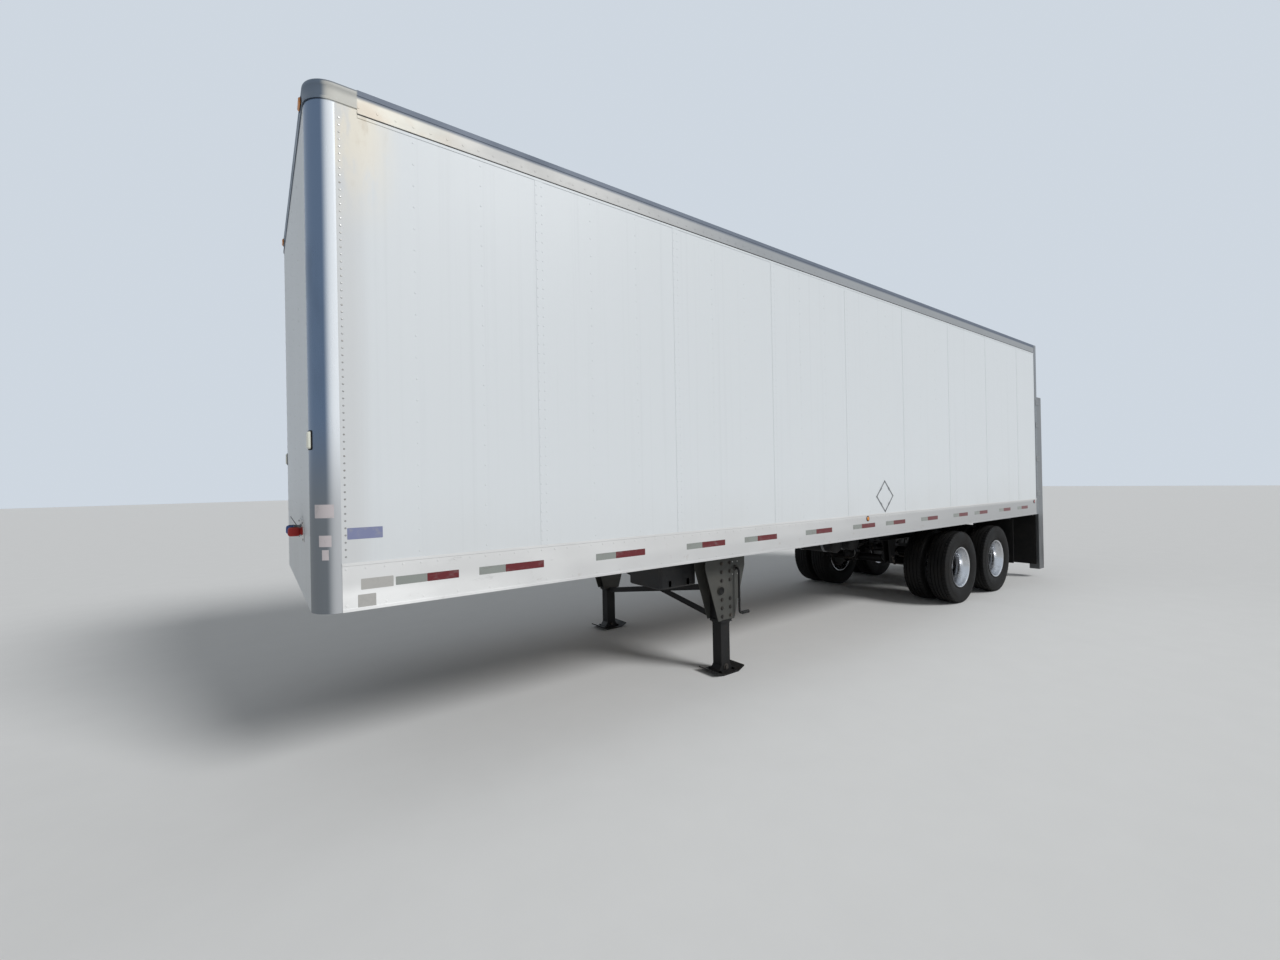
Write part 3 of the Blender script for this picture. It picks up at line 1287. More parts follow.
class TRAILER_OT_landing_gear(bpy.types.Operator):
    """Gear case with its crank, shoe pins, collars, bolts and dark plugs of the landing legs"""

    bl_idname = "trailer.landing_gear"
    bl_label = "Landing Gear"

    def execute(self, context):
        self.gear_case()
        self.leg_fittings()
        self.wing_bolts()
        return {"FINISHED"}

    def gear_case(self):
        """The case behind the left leg, with its lid, ribs at its back, shaft boss and crank."""
        low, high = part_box("leg_gearbox")
        x, behind = TUBE_LOW.x - CASE_LENGTH / 2, TUBE_LOW.x - CASE_LENGTH
        case = box(
            (behind, LEG_FACE - CASE_WIDTH, CASE_LOW), (TUBE_LOW.x, LEG_FACE, CASE_HIGH), 0.012
        )
        lid = box(
            (x - LID_HALF, LEG_FACE - LID_PROUD, CASE_LOW + LID_MARGIN),
            (x + LID_HALF, LEG_FACE + LID_PROUD, CASE_HIGH - LID_MARGIN), 0.0025,
        )
        rib = bar(CASE_RIB_HALF, CASE_RIB_HALF, CASE_LOW + 0.005, CASE_HIGH - 0.005)
        starts = LEG_FACE - CASE_WIDTH + 0.009 + CASE_RIB_PITCH * np.arange(CASE_RIBS)
        ribs = rib.repeated([(behind, y, 0) for y in starts])
        boss = [(0.030, 0), (0.030, 0.008), (0.022, 0.016), (0.022, 0.024), (0, 0.024)]
        boss = outwards(revolved(boss, 24)).moved(x, LEG_FACE, SHAFT_HEIGHT)
        along, up = LID_SCREW_PLACE
        corners = [
            (x + aside, LEG_FACE + LID_PROUD, SHAFT_HEIGHT + over)
            for aside in (-along, along) for over in (-up, up)
        ]
        screws = outwards(hex_head(*SMALL_SCREW)).repeated(corners)
        grip = (low.x, high.y - CRANK_RADIUS, low.z + CRANK_RADIUS)
        crank = crank_surface((x, LEG_FACE, SHAFT_HEIGHT), grip)
        black = case + lid + ribs + crank
        parts = [(black, "chassis_black"), (boss, "cast_iron"), (screws, "bolt_zinc")]
        put("gear_case", parts, ["leg_gearbox"])

    def leg_fittings(self):
        """The collar and guide at each tube's foot, the shoe's turned-up edges and its pin."""
        collar = plate(COLLAR_HALF, COLLAR_HALF, 0.030, 0.012, 3, 0.003).moved(z=-0.002)
        guide = plate(GUIDE_HALF, GUIDE_HALF, 0.020, 0.008, 2, 0.002).moved(z=-0.020)
        foot = (collar + guide).moved(LEG_X, LEG_Y, TUBE_LOW.z)
        edge = bar(0.004, SHOE_EDGE_HALF, 0.012, 0.034)
        edges = edge.repeated([(LEG_X + way * SHOE_EDGE_AHEAD, LEG_Y, 0) for way in (-1, 1)])
        washer = revolved([(0.030, 0.057), (0.030, 0.062), (SHOE_PIN_RADIUS, 0.062)], 20)
        pin = outwards(disc(SHOE_PIN_RADIUS, -SHOE_PIN_REACH, SHOE_PIN_REACH, 20) + washer)
        pin = pin.moved(LEG_X, LEG_Y, SHOE_PIN_HEIGHT)
        put_pair("leg_fittings", [(foot + edges, "chassis_black"), (pin, "cast_iron")])

    def wing_bolts(self):
        """Bolts beside each leg and along its wings' top, and the rubber plug on the boss."""
        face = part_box("leg_wings")[1].y - WING_LIP
        places = [
            (LEG_X + aside, face, z)
            for aside in (-WING_BOLT_ASIDE, WING_BOLT_ASIDE) for z in WING_BOLT_HEIGHTS
        ]
        places += [(LEG_X + aside, face, TOP_BOLT_HEIGHT) for aside in TOP_BOLT_ASIDES]
        bolts = outwards(washered(0.024, 0.011)).repeated(places)
        plug = [(0.036, -0.002), (0.036, 0.003), (0.029, 0.004), (0.025, 0.001), (0, 0.001)]
        plug = outwards(revolved(plug, 28)).moved(LEG_X + BOSS_AHEAD, face + WING_LIP, BOSS_HEIGHT)
        put_pair("wing_bolts", [(bolts, "cast_iron"), (plug, "black_rubber")])


# Running gear
SLIDER_LOW, SLIDER_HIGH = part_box("slider_rails")
SLIDER_HALF = 0.040
SLIDER_WALL = 0.009
SLIDER_PITCH = 0.1016
SLIDER_HOLE = 0.014
GEAR_Y = SLIDER_HIGH.y - SLIDER_HALF
SPRING_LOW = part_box("leaf_springs")[0].z
SPRING_STACK = 0.060
AXLE_RADIUS = 0.0635
SPINDLE_RADIUS = 0.045
AXLE_SHOULDER = 0.690
AXLE_TAPER = 0.020
AXLE_END = 0.9645
U_BOLT_HALF = 0.049
U_BOLT_ASIDE = 0.055
U_BOLT_RADIUS = 0.0085
U_BOLT_FOOT = -0.118
U_BOLT_HEAD = 0.032
NUT_FACE = -0.088
CHAMBER_Y = 0.330
CHAMBER_LIFT = 0.090
CHAMBER_AHEAD = 0.150
CHAMBER_LENGTH = 0.230
CHAMBER_RADIUS = 0.078
CHAMBER_BAND = 0.088
CHAMBER_ROD_RADIUS = 0.009
CAM_AHEAD = 0.100
CAM_DROP = 0.030
CAM_RADIUS = 0.019
HANGER_INSET = 0.105
HANGER_PIN_HEIGHT = 0.645
EQUALIZER_PIN_HEIGHT = 0.800
ROD_PIN_HEIGHT = 0.582
ROD_PIN_BACK = 0.030
TANK_RADIUS = 0.120
TANK_CROWN = 0.055
TANK_INSET = 0.0025
TANK_STRAP_HALF = 0.020


def plate_with_holes(x0, x1, z0, z1, count, radius, thickness, steps=16):
    """An upright plate in the XZ plane with a row of round holes, facing +Y.

    Each hole has a cell; a point runs straight from the hole's rim to its cell's edge, at the
    lesser of half the pitch over |cos t| and half the height over |sin t|.
    """
    pitch, height = (x1 - x0) / count, z1 - z0
    corner = math.atan2(height, pitch)
    turn = np.linspace(0, 2 * np.pi, steps, endpoint=False) + np.pi / steps
    corners = [corner, np.pi - corner, np.pi + corner, 2 * np.pi - corner]
    turn = np.sort(np.concatenate([turn, corners]))
    cos, sin = np.cos(turn), np.sin(turn)
    reach = np.minimum(pitch / 2 / abs(cos), height / 2 / abs(sin))
    rim = np.full(len(turn), radius)
    rows = [(reach, 0.0), (rim, 0.0), (rim, -thickness), (reach, -thickness)]
    points = np.stack([np.stack([r * cos, depth + 0 * r, r * sin], -1) for r, depth in rows])
    places = [(x0 + pitch * (i + 0.5), 0, (z0 + z1) / 2) for i in range(count)]
    return grid(points, around=True).repeated(places)


def slider_surface():
    """The left slider rail: a channel open outwards, with its row of locking holes."""
    low, high = SLIDER_LOW, SLIDER_HIGH
    web = GEAR_Y - SLIDER_HALF
    flange = box((low.x, web, 0), (high.x, high.y, SLIDER_WALL))
    flanges = flange.repeated([(0, 0, low.z), (0, 0, high.z - SLIDER_WALL)])
    count = int((high.x - low.x) / SLIDER_PITCH)
    heights = (low.z + SLIDER_WALL, high.z - SLIDER_WALL)
    holed = plate_with_holes(low.x, high.x, *heights, count, SLIDER_HOLE, SLIDER_WALL)
    return flanges + holed.moved(y=web + SLIDER_WALL)


def u_bolt(low, high):
    """A U bolt over a spring, in the plane across the trailer: up, across and down."""
    half = U_BOLT_HALF
    corners = [(0, -half, low), (0, -half, high), (0, half, high), (0, half, low)]
    return tube(bent(corners, 0.6 * half), U_BOLT_RADIUS, 10, up=(1, 0, 0))


def chamber_surface():
    """A twin brake chamber standing on Z = 0: two pressed cans and the rim between them."""
    length, radius, band = CHAMBER_LENGTH, CHAMBER_RADIUS, CHAMBER_BAND
    middle = length / 2
    profile = [
        (0, 0), (radius - 0.022, 0), (radius - 0.006, 0.008), (radius, 0.022),
        (radius, middle - 0.016), (band, middle - 0.010), (band, middle + 0.010),
        (radius, middle + 0.016), (radius - 0.004, length - 0.040),
        (radius - 0.010, length - 0.016), (radius - 0.026, length), (0.020, length),
        (0.018, length - 0.006), (0, length - 0.006),
    ]
    return revolved(profile, 36)


def tank_surface(radius, half):
    """An air tank round Z: ends that are quarter ellipses, and weld beads beside them."""
    turn = np.linspace(0, np.pi / 2, 8)
    end = np.column_stack([radius * np.sin(turn), half - TANK_CROWN * (1 - np.cos(turn))])
    seam = half - TANK_CROWN
    bead = [(0, -0.012), (0.0025, -0.016), (0.0025, -0.022), (0, -0.026)]
    upper = np.vstack([end, np.array(bead) + (radius, seam)])
    return revolved(np.vstack([upper * (1, -1), upper[::-1]]), 40)


class TRAILER_OT_running_gear(bpy.types.Operator):
    """Slider rails with locking holes, axles, U bolts, brake chambers, rod eyes and tanks"""

    bl_idname = "trailer.running_gear"
    bl_label = "Running Gear"

    def execute(self, context):
        rail = (slider_surface(), SLOT_OF["slider_rails"])
        put_pair("slider_rail_pair", [rail], ["slider_rails"])
        axles = [middle_of(f"tyres_{axle}_left").x for axle in AXLES]
        places = [(x, 0, AXLE_HEIGHT) for x in axles]
        beam = self.axle_beam().repeated(places)
        put("axle_beams", [(beam, "chassis_black")], ["axles"])
        put("u_bolts", [(self.u_bolts().repeated(places), "cast_iron")])
        brakes = [(part.repeated(places), look) for part, look in self.brakes()]
        put_pair("brake_cans", brakes, ["brake_chambers"])
        put("hanger_bolts", [(self.hanger_bolts(), "cast_iron")])
        self.air_tanks()
        return {"FINISHED"}

    def axle_beam(self):
        """One axle about the origin, with its brake shields and spring seats."""
        half = np.array([
            (0, AXLE_END), (SPINDLE_RADIUS, AXLE_END),
            (SPINDLE_RADIUS, AXLE_SHOULDER + AXLE_TAPER), (AXLE_RADIUS, AXLE_SHOULDER),
        ])
        beam = outwards(revolved(np.vstack([half * (1, -1), half[::-1]]), 32))
        shield = [(0.060, 0), (0.186, 0), (0.190, 0.006), (0.060, 0.010)]
        shield = outwards(revolved(shield, 40)).moved(y=AXLE_SHOULDER)
        seat = bar(0.075, 0.038, -0.044, SPRING_LOW - AXLE_HEIGHT, 0.004)
        under = bar(0.080, 0.062, NUT_FACE, -0.074, 0.004)
        return beam + (shield + (seat + under).moved(y=GEAR_Y)).both()

    def u_bolts(self):
        """The U bolts of one axle at both springs, with their nuts under the seat."""
        top = SPRING_LOW - AXLE_HEIGHT + SPRING_STACK + U_BOLT_HEAD
        nut = downwards(hex_head(0.027, 0.018))
        nuts = nut.repeated([(0, way * U_BOLT_HALF, NUT_FACE) for way in (1, -1)])
        bolt = u_bolt(U_BOLT_FOOT, top) + nuts
        return bolt.repeated([(way * U_BOLT_ASIDE, GEAR_Y, 0) for way in (1, -1)]).both()

    def brakes(self):
        """One axle's left chamber, its clamp, and its bracket, push rod, cam and slack arm."""
        y, lift, ahead = CHAMBER_Y, CHAMBER_LIFT, CHAMBER_AHEAD
        can = forwards(chamber_surface()).moved(ahead, y, lift)
        band = [(0.0885, -0.009), (0.0915, -0.006), (0.0915, 0.006), (0.0885, 0.009)]
        lug = bar(0.009, 0.008, CHAMBER_BAND - 0.002, CHAMBER_BAND + 0.018)
        clamp = forwards(revolved(band, 36)) + lug
        clamp = clamp.moved(ahead + CHAMBER_LENGTH / 2, y, lift)
        arm = box((0, y - 0.022, 0.055), (ahead, y + 0.022, lift + 0.022), 0.004)
        seat = forwards(plate(0.060, 0.050, 0.012, 0.004, 1, 0.004)).moved(ahead - 0.012, y, lift)
        rod = tube([(ahead + 0.002, y, lift), (0.085, y, lift)], CHAMBER_ROD_RADIUS, 10)
        cam = [(CAM_AHEAD, y - 0.040, -CAM_DROP), (CAM_AHEAD, AXLE_SHOULDER, -CAM_DROP)]
        cam = tube(cam, CAM_RADIUS, 16)
        slack = prism(rounded(-0.026, -0.030, 0.026, 0.135, 0.024, 5), -0.013, 0.013, 0.004)
        slack = inwards(slack).moved(CAM_AHEAD, y, -CAM_DROP)
        iron = arm + seat + rod + cam + slack
        return [(can, "chassis_black"), (clamp, "bolt_zinc"), (iron, "cast_iron")]

    def hanger_bolts(self):
        """Washered bolt heads on both cheeks of every spring hanger."""
        low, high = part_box("spring_hangers")
        middle = (low.x + high.x) / 2
        front, rear = high.x - HANGER_INSET, low.x + HANGER_INSET
        places = [(x, 0, HANGER_PIN_HEIGHT) for x in (front, middle, rear)]
        places += [(middle, 0, EQUALIZER_PIN_HEIGHT)]
        places += [(x - ROD_PIN_BACK, 0, ROD_PIN_HEIGHT) for x in (front, middle)]
        head = washered(0.036, 0.012)
        outer = outwards(head).repeated(places).moved(y=high.y)
        inner = inwards(head).repeated(places).moved(y=2 * GEAR_Y - high.y)
        return (outer + inner).both()

    def air_tanks(self):
        """The air tanks across the frame, with their drains and the straps they hang in."""
        low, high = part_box("air_tanks")
        half = (high.y - low.y) / 2
        z = low.z + TANK_RADIUS
        places = [(x, 0, z) for x in (low.x + TANK_RADIUS, high.x - TANK_RADIUS)]
        tank = outwards(tank_surface(TANK_RADIUS - TANK_INSET, half))
        drain = downwards(disc(0.012, 0, 0.004, 10)).moved(y=0.1, z=0.004 - TANK_RADIUS)
        wide = TANK_STRAP_HALF
        ring = [(-0.003, -wide), (0, -wide), (0, wide), (-0.003, wide)]
        ring = outwards(revolved(np.array(ring) + (TANK_RADIUS, 0), 40))
        post = bar(wide, wide, TANK_RADIUS - 0.010, high.z - z)
        straps = (ring + post).repeated([(0, way * half / 2, 0) for way in (1, -1)])
        parts = [(tank + drain, "chassis_black"), (straps, "galvanised_steel")]
        put("reservoirs", [(part.repeated(places), look) for part, look in parts], ["air_tanks"])


# Door and lift gate
DOOR_SLATS = 8
DOOR_INSET = 0.025
HINGE_PLACES = (-1.0, -0.34, 0.34, 1.0)
LOCK_HEIGHT = 0.135
LEVER_PROUD = 0.026
COLUMN_DEPTH = 0.150
COLUMN_WALL = 0.012
STRAP_HEIGHTS = (1.50, 2.10, 2.70, 3.10)
STRAP_HALF = 0.070
STRAP_PROUD = 0.005
DECK_HALF = 1.188
DECK_TIP = 0.360
FLAP_X = (COLUMN_HIGH.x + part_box("rear_frame")[1].x) / 2
FLAP_SIDE = (0.665, 1.265)
FLAP_LOW = 0.240
FLAP_HALF = 0.004
FLAP_RIBS = 11
STUD_ROWS = 24
STUD_COLUMNS = 36
STUD_PITCH = 0.062
STUD_START = 0.09
STUD_MARGIN = 0.05
FLAP_CLAMP = (0.700, 1.230)
FLAP_BOLTS = 6
FLAP_BOLT = (0.019, 0.008)
FLAP_CLAMP_DROP = 0.045
FLAP_CLAMP_PROUD = 0.006


class TRAILER_OT_rear(bpy.types.Operator):
    """Door hinges and latch, column caps and straps, platform studs, flap bolts, rear flaps"""

    bl_idname = "trailer.rear"
    bl_label = "Door and Lift Gate"

    def execute(self, context):
        self.door_fittings()
        self.column_fittings()
        self.platform_studs()
        self.flap_bolts()
        self.rear_flaps()
        return {"FINISHED"}

    def door_fittings(self):
        """Hinges between the slats, the lock's plate, lever and barrel, and the foot seal."""
        low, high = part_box("roll_door")
        face = high.x - DOOR_INSET
        slat = (high.z - low.z) / DOOR_SLATS
        eyes = [(x, y, 0.003) for x in (-0.018, 0.018) for y in (-0.030, 0.030)]
        knuckle = tube([(-0.032, 0, 0.005), (0.032, 0, 0.005)], 0.006, 10)
        hinge = plate(0.032, 0.045, 0.003, 0.006, 2) + knuckle + dome(0.005, 0.004).repeated(eyes)
        places = [(face, y, low.z + slat * i) for i in range(1, DOOR_SLATS) for y in HINGE_PLACES]
        lock_z = low.z + LOCK_HEIGHT
        pull = backwards(plate(0.095, 0.053, 0.006, 0.003, 1, 0.002)).moved(face, 0, lock_z)
        proud = face - LEVER_PROUD
        lever = [(face - 0.012, -0.080, lock_z), (proud, 0, lock_z), (proud, 0.085, lock_z)]
        lever = tube(bent(lever, 0.02, 5), 0.008, 12)
        barrel = revolved([(0.024, 0), (0.024, 0.014), (0.018, 0.018), (0, 0.018)], 24)
        latch = pull + lever + backwards(barrel).moved(face - 0.006, -0.060, lock_z)
        half = high.y - DOOR_INSET
        seal = box((face + 0.002, -half, low.z), (face + 0.020, half, low.z + 0.030), 0.004)
        hinges = backwards(hinge).repeated(places)
        parts = [(hinges, "bolt_zinc"), (latch, "galvanised_steel"), (seal, "black_rubber")]
        put("door_fittings", parts)

    def column_fittings(self):
        """Caps on the gate columns, and the bolted straps that hold them to the body."""
        low, high = COLUMN_LOW, COLUMN_HIGH
        cap = box(
            (low.x + COLUMN_WALL, high.y - COLUMN_DEPTH + COLUMN_WALL, high.z - 0.006),
            (high.x - COLUMN_WALL, high.y - COLUMN_WALL, high.z), 0.001,
        )
        proud = FACE_Y + STRAP_PROUD
        strap = box((-STRAP_HALF, high.y, -0.05), (STRAP_HALF, proud, 0.05), 0.003)
        corners = [(x, proud, z) for x in (-0.045, 0.045) for z in (-0.025, 0.025)]
        heads = outwards(dome(0.010, 0.0028, 10)).repeated(corners)
        places = [(TAIL, 0, z) for z in STRAP_HEIGHTS]
        straps, heads = strap.repeated(places), heads.repeated(places)
        put_pair("column_fittings", [(cap + straps, "gate_steel"), (heads, "bolt_zinc")])

    def platform_studs(self):
        """Grip studs in rows over the folded platform's deck, and strips along its sides."""
        low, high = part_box("gate_platform")
        stud = box((-0.0022, -0.003, -0.016), (0.0038, 0.003, 0.016), 0.0012)
        rows = low.z + STUD_START + STUD_PITCH * np.arange(STUD_ROWS)
        columns = np.linspace(STUD_MARGIN - DECK_HALF, DECK_HALF - STUD_MARGIN, STUD_COLUMNS)
        studs = stud.repeated([(high.x, y, z) for z in rows for y in columns])
        edge = box(
            (high.x - 0.110, DECK_HALF - 0.003, low.z),
            (high.x - 0.002, DECK_HALF + 0.003, high.z - DECK_TIP), 0.001,
        )
        put("platform_studs", [(studs + edge.both(), "gate_dark")], body=PLATFORM)

    def flap_bolts(self):
        """The bars that clamp the mud flaps, with their bolts."""
        low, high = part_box("mud_flaps")
        near, far = FLAP_CLAMP
        x, z = (low.x + high.x) / 2, high.z - 0.060
        clamp = box((x - 0.012, near, z - 0.015), (x + 0.012, far, z + 0.015), 0.003)
        spots = np.linspace(near + 0.05, far - 0.05, FLAP_BOLTS)
        heads = backwards(hex_head(*FLAP_BOLT)).repeated([(x - 0.012, y, z) for y in spots])
        put_pair("flap_bolts", [(clamp, "galvanised_steel"), (heads, "bolt_zinc")])

    def rear_flaps(self):
        """Ribbed rubber flaps that hang under the rear frame, each behind a clamping bar."""
        near, far = FLAP_SIDE
        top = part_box("rear_frame")[0].z
        sheet = box((FLAP_X - FLAP_HALF, near, FLAP_LOW), (FLAP_X + FLAP_HALF, far, top), 0.001)
        rib = box(
            (-FLAP_HALF - 0.003, -0.006, FLAP_LOW + 0.03), (-FLAP_HALF, 0.006, top - 0.08), 0.001
        )
        lines = np.linspace(near + 0.05, far - 0.05, FLAP_RIBS)
        ribs = rib.repeated([(FLAP_X, y, 0) for y in lines])
        face = FLAP_X + FLAP_HALF
        front = face + FLAP_CLAMP_PROUD
        clamp = box((face, near, top - FLAP_CLAMP_DROP), (front, far, top), 0.0015)
        spots = np.linspace(near + 0.04, far - 0.04, FLAP_BOLTS)
        heads = forwards(hex_head(*FLAP_BOLT)).repeated([(front, y, top - 0.022) for y in spots])
        parts = [(sheet + ribs, "black_rubber"), (clamp, "chassis_black"), (heads, "bolt_zinc")]
        put_pair("rear_flaps", parts)


# Lamps
LAMP_DEPTH = 0.0135
OBLONG_LAMP = (0.100, 0.036)
POST_LAMP = (0.040, 0.100)
POST_LAMP_HEIGHT = 2.10
POST_LAMP_ANGLE = math.radians(15)
SIDE_LAMP_RADIUS = 0.0235
SIDE_LAMP_HEIGHT = 0.225
SIDE_LAMP_BACK = 5.480
REAR_SIDE_LAMP_AHEAD = 0.210
TAIL_LAMP_RADIUS = 0.047
TAIL_LAMP_INSETS = (0.080, 0.210)
ROUND_LENS_HEIGHT = 0.0105
TAIL_LENS_HEIGHT = 0.0115
CAP_LAMP_DROP = 0.055
CAP_LAMP_INSET = 0.235
HEADER_LAMP_PITCH = 0.160


def round_cover(radius, height, sides=28):
    """A round lens on a straight rim: its radius is r sin t and its height rises as cos t."""
    turn = np.linspace(np.pi / 2, 0, 7)
    arc = np.column_stack([radius * np.sin(turn), height * (0.35 + 0.65 * np.cos(turn))])
    arc[-1, 0] = 0.0
    return revolved(np.vstack([[(radius, 0)], arc]), sides)


def oblong_cover(width, height, depth, last=1.35):
    """An oblong lens: its outline draws in by a share of 1 - cos t as it rises by sin t."""
    least = min(width, height)
    outline = rounded(-width / 2, -height / 2, width / 2, height / 2, 0.3 * least, 5)
    rows = [
        np.column_stack([
            inset(outline, 0.34 * least * (1 - math.cos(t))),
            np.full(len(outline), depth * math.sin(t) / math.sin(last)),
        ])
        for t in np.linspace(0, last, 7)
    ]
    return grid(np.stack(rows), around=True, capped=True)


def grommet(radius, width, height):
    """A rubber ring round a lens of a radius, standing on Z = 0."""
    outer = radius + width
    ring = [(outer, 0), (outer - 0.0005, 0.6 * height), (radius + width / 2, height)]
    return revolved([*ring, (radius, 0.85 * height)], 36)


class TRAILER_OT_lamps(bpy.types.Operator):
    """Marker, clearance and tail lamps, each a moulded lens in its rubber or base"""

    bl_idname = "trailer.lamps"
    bl_label = "Lamps"

    def execute(self, context):
        side_z = RAIL_LOW.z + SIDE_LAMP_HEIGHT
        side_x = (NOSE - SIDE_LAMP_BACK, TAIL + REAR_SIDE_LAMP_AHEAD)
        side = [(x, WEB_Y, side_z) for x in side_x]
        side_lens = outwards(round_cover(SIDE_LAMP_RADIUS, ROUND_LENS_HEIGHT))
        side_ring = outwards(grommet(SIDE_LAMP_RADIUS, 0.0075, 0.0055)).repeated(side)

        lens = oblong_cover(*OBLONG_LAMP, LAMP_DEPTH)
        base = plate(0.053, 0.021, 0.003, 0.008)
        cap_place = (NOSE, FACE_Y - CAP_LAMP_INSET, CAP_HIGH.z - CAP_LAMP_DROP)
        headers = [(TAIL, HEADER_LAMP_PITCH * place, cap_place[2]) for place in (-1, 0, 1)]

        cos, sin = math.cos(POST_LAMP_ANGLE), math.sin(POST_LAMP_ANGLE)
        round_post = ((-sin, cos, 0), (0, 0, 1), (cos, sin, 0))
        reach = CORNER_RADIUS - 0.001
        post_place = (*(POST_CENTRE + reach * np.array([cos, sin])), POST_LAMP_HEIGHT)
        post_lens = oblong_cover(*POST_LAMP, LAMP_DEPTH + 0.004).laid(*round_post)
        post_base = plate(0.024, 0.055, 0.010, 0.008).moved(z=-0.006).laid(*round_post)

        tail_z = (BUMPER_LOW.z + BUMPER_HIGH.z) / 2
        tails = [(BUMPER_LOW.x, BUMPER_HIGH.y - aside, tail_z) for aside in TAIL_LAMP_INSETS]
        tail_lens = backwards(round_cover(TAIL_LAMP_RADIUS, TAIL_LENS_HEIGHT, 36)).repeated(tails)
        tail_ring = backwards(grommet(TAIL_LAMP_RADIUS, 0.007, 0.007)).repeated(tails)

        amber = side_lens.moved(*side[0]) + forwards(lens).moved(*cap_place)
        bleached = post_lens.moved(*post_place)
        red = (side_lens.moved(*side[1]) + tail_lens).both() + backwards(lens).repeated(headers)
        bases = side_ring + forwards(base).moved(*cap_place) + post_base.moved(*post_place)
        bases = (bases + tail_ring).both() + backwards(base).repeated(headers)
        parts = [(amber, "amber_lens"), (bleached, "bleached_lens")]
        put_pair("amber_lenses", parts, ["amber_lamps"])
        put("red_lenses", [(red, "red_lens"), (bases, "black_rubber")], ["red_lamps"])
        return {"FINISHED"}


# Boxes and small fittings
LATCH_PLACES = (0.11, 0.33)
VENTS = 5
VENT_PITCH = 0.018
VENT_DROP = 0.09
BROW_DROP = 0.040
BROW_DEPTH = 0.010
PLACARD_STRIP = 0.016
COUPLING_SPACING = 0.230
COUPLING_REACH = 0.0345
PLATE_HALF_HEIGHT = 0.068
PLATE_THICKNESS = 0.006
# How far the screws of the couplings' plate stand from its ends and from its middle line
PLATE_SCREW_PLACE = (0.02, 0.052)
SOCKET_LID_ANGLE = 0.5
ROOF_SEAM_PITCH = 1.22
ROOF_SEAM_HALF = 0.020
ROOF_MARGIN = 0.07


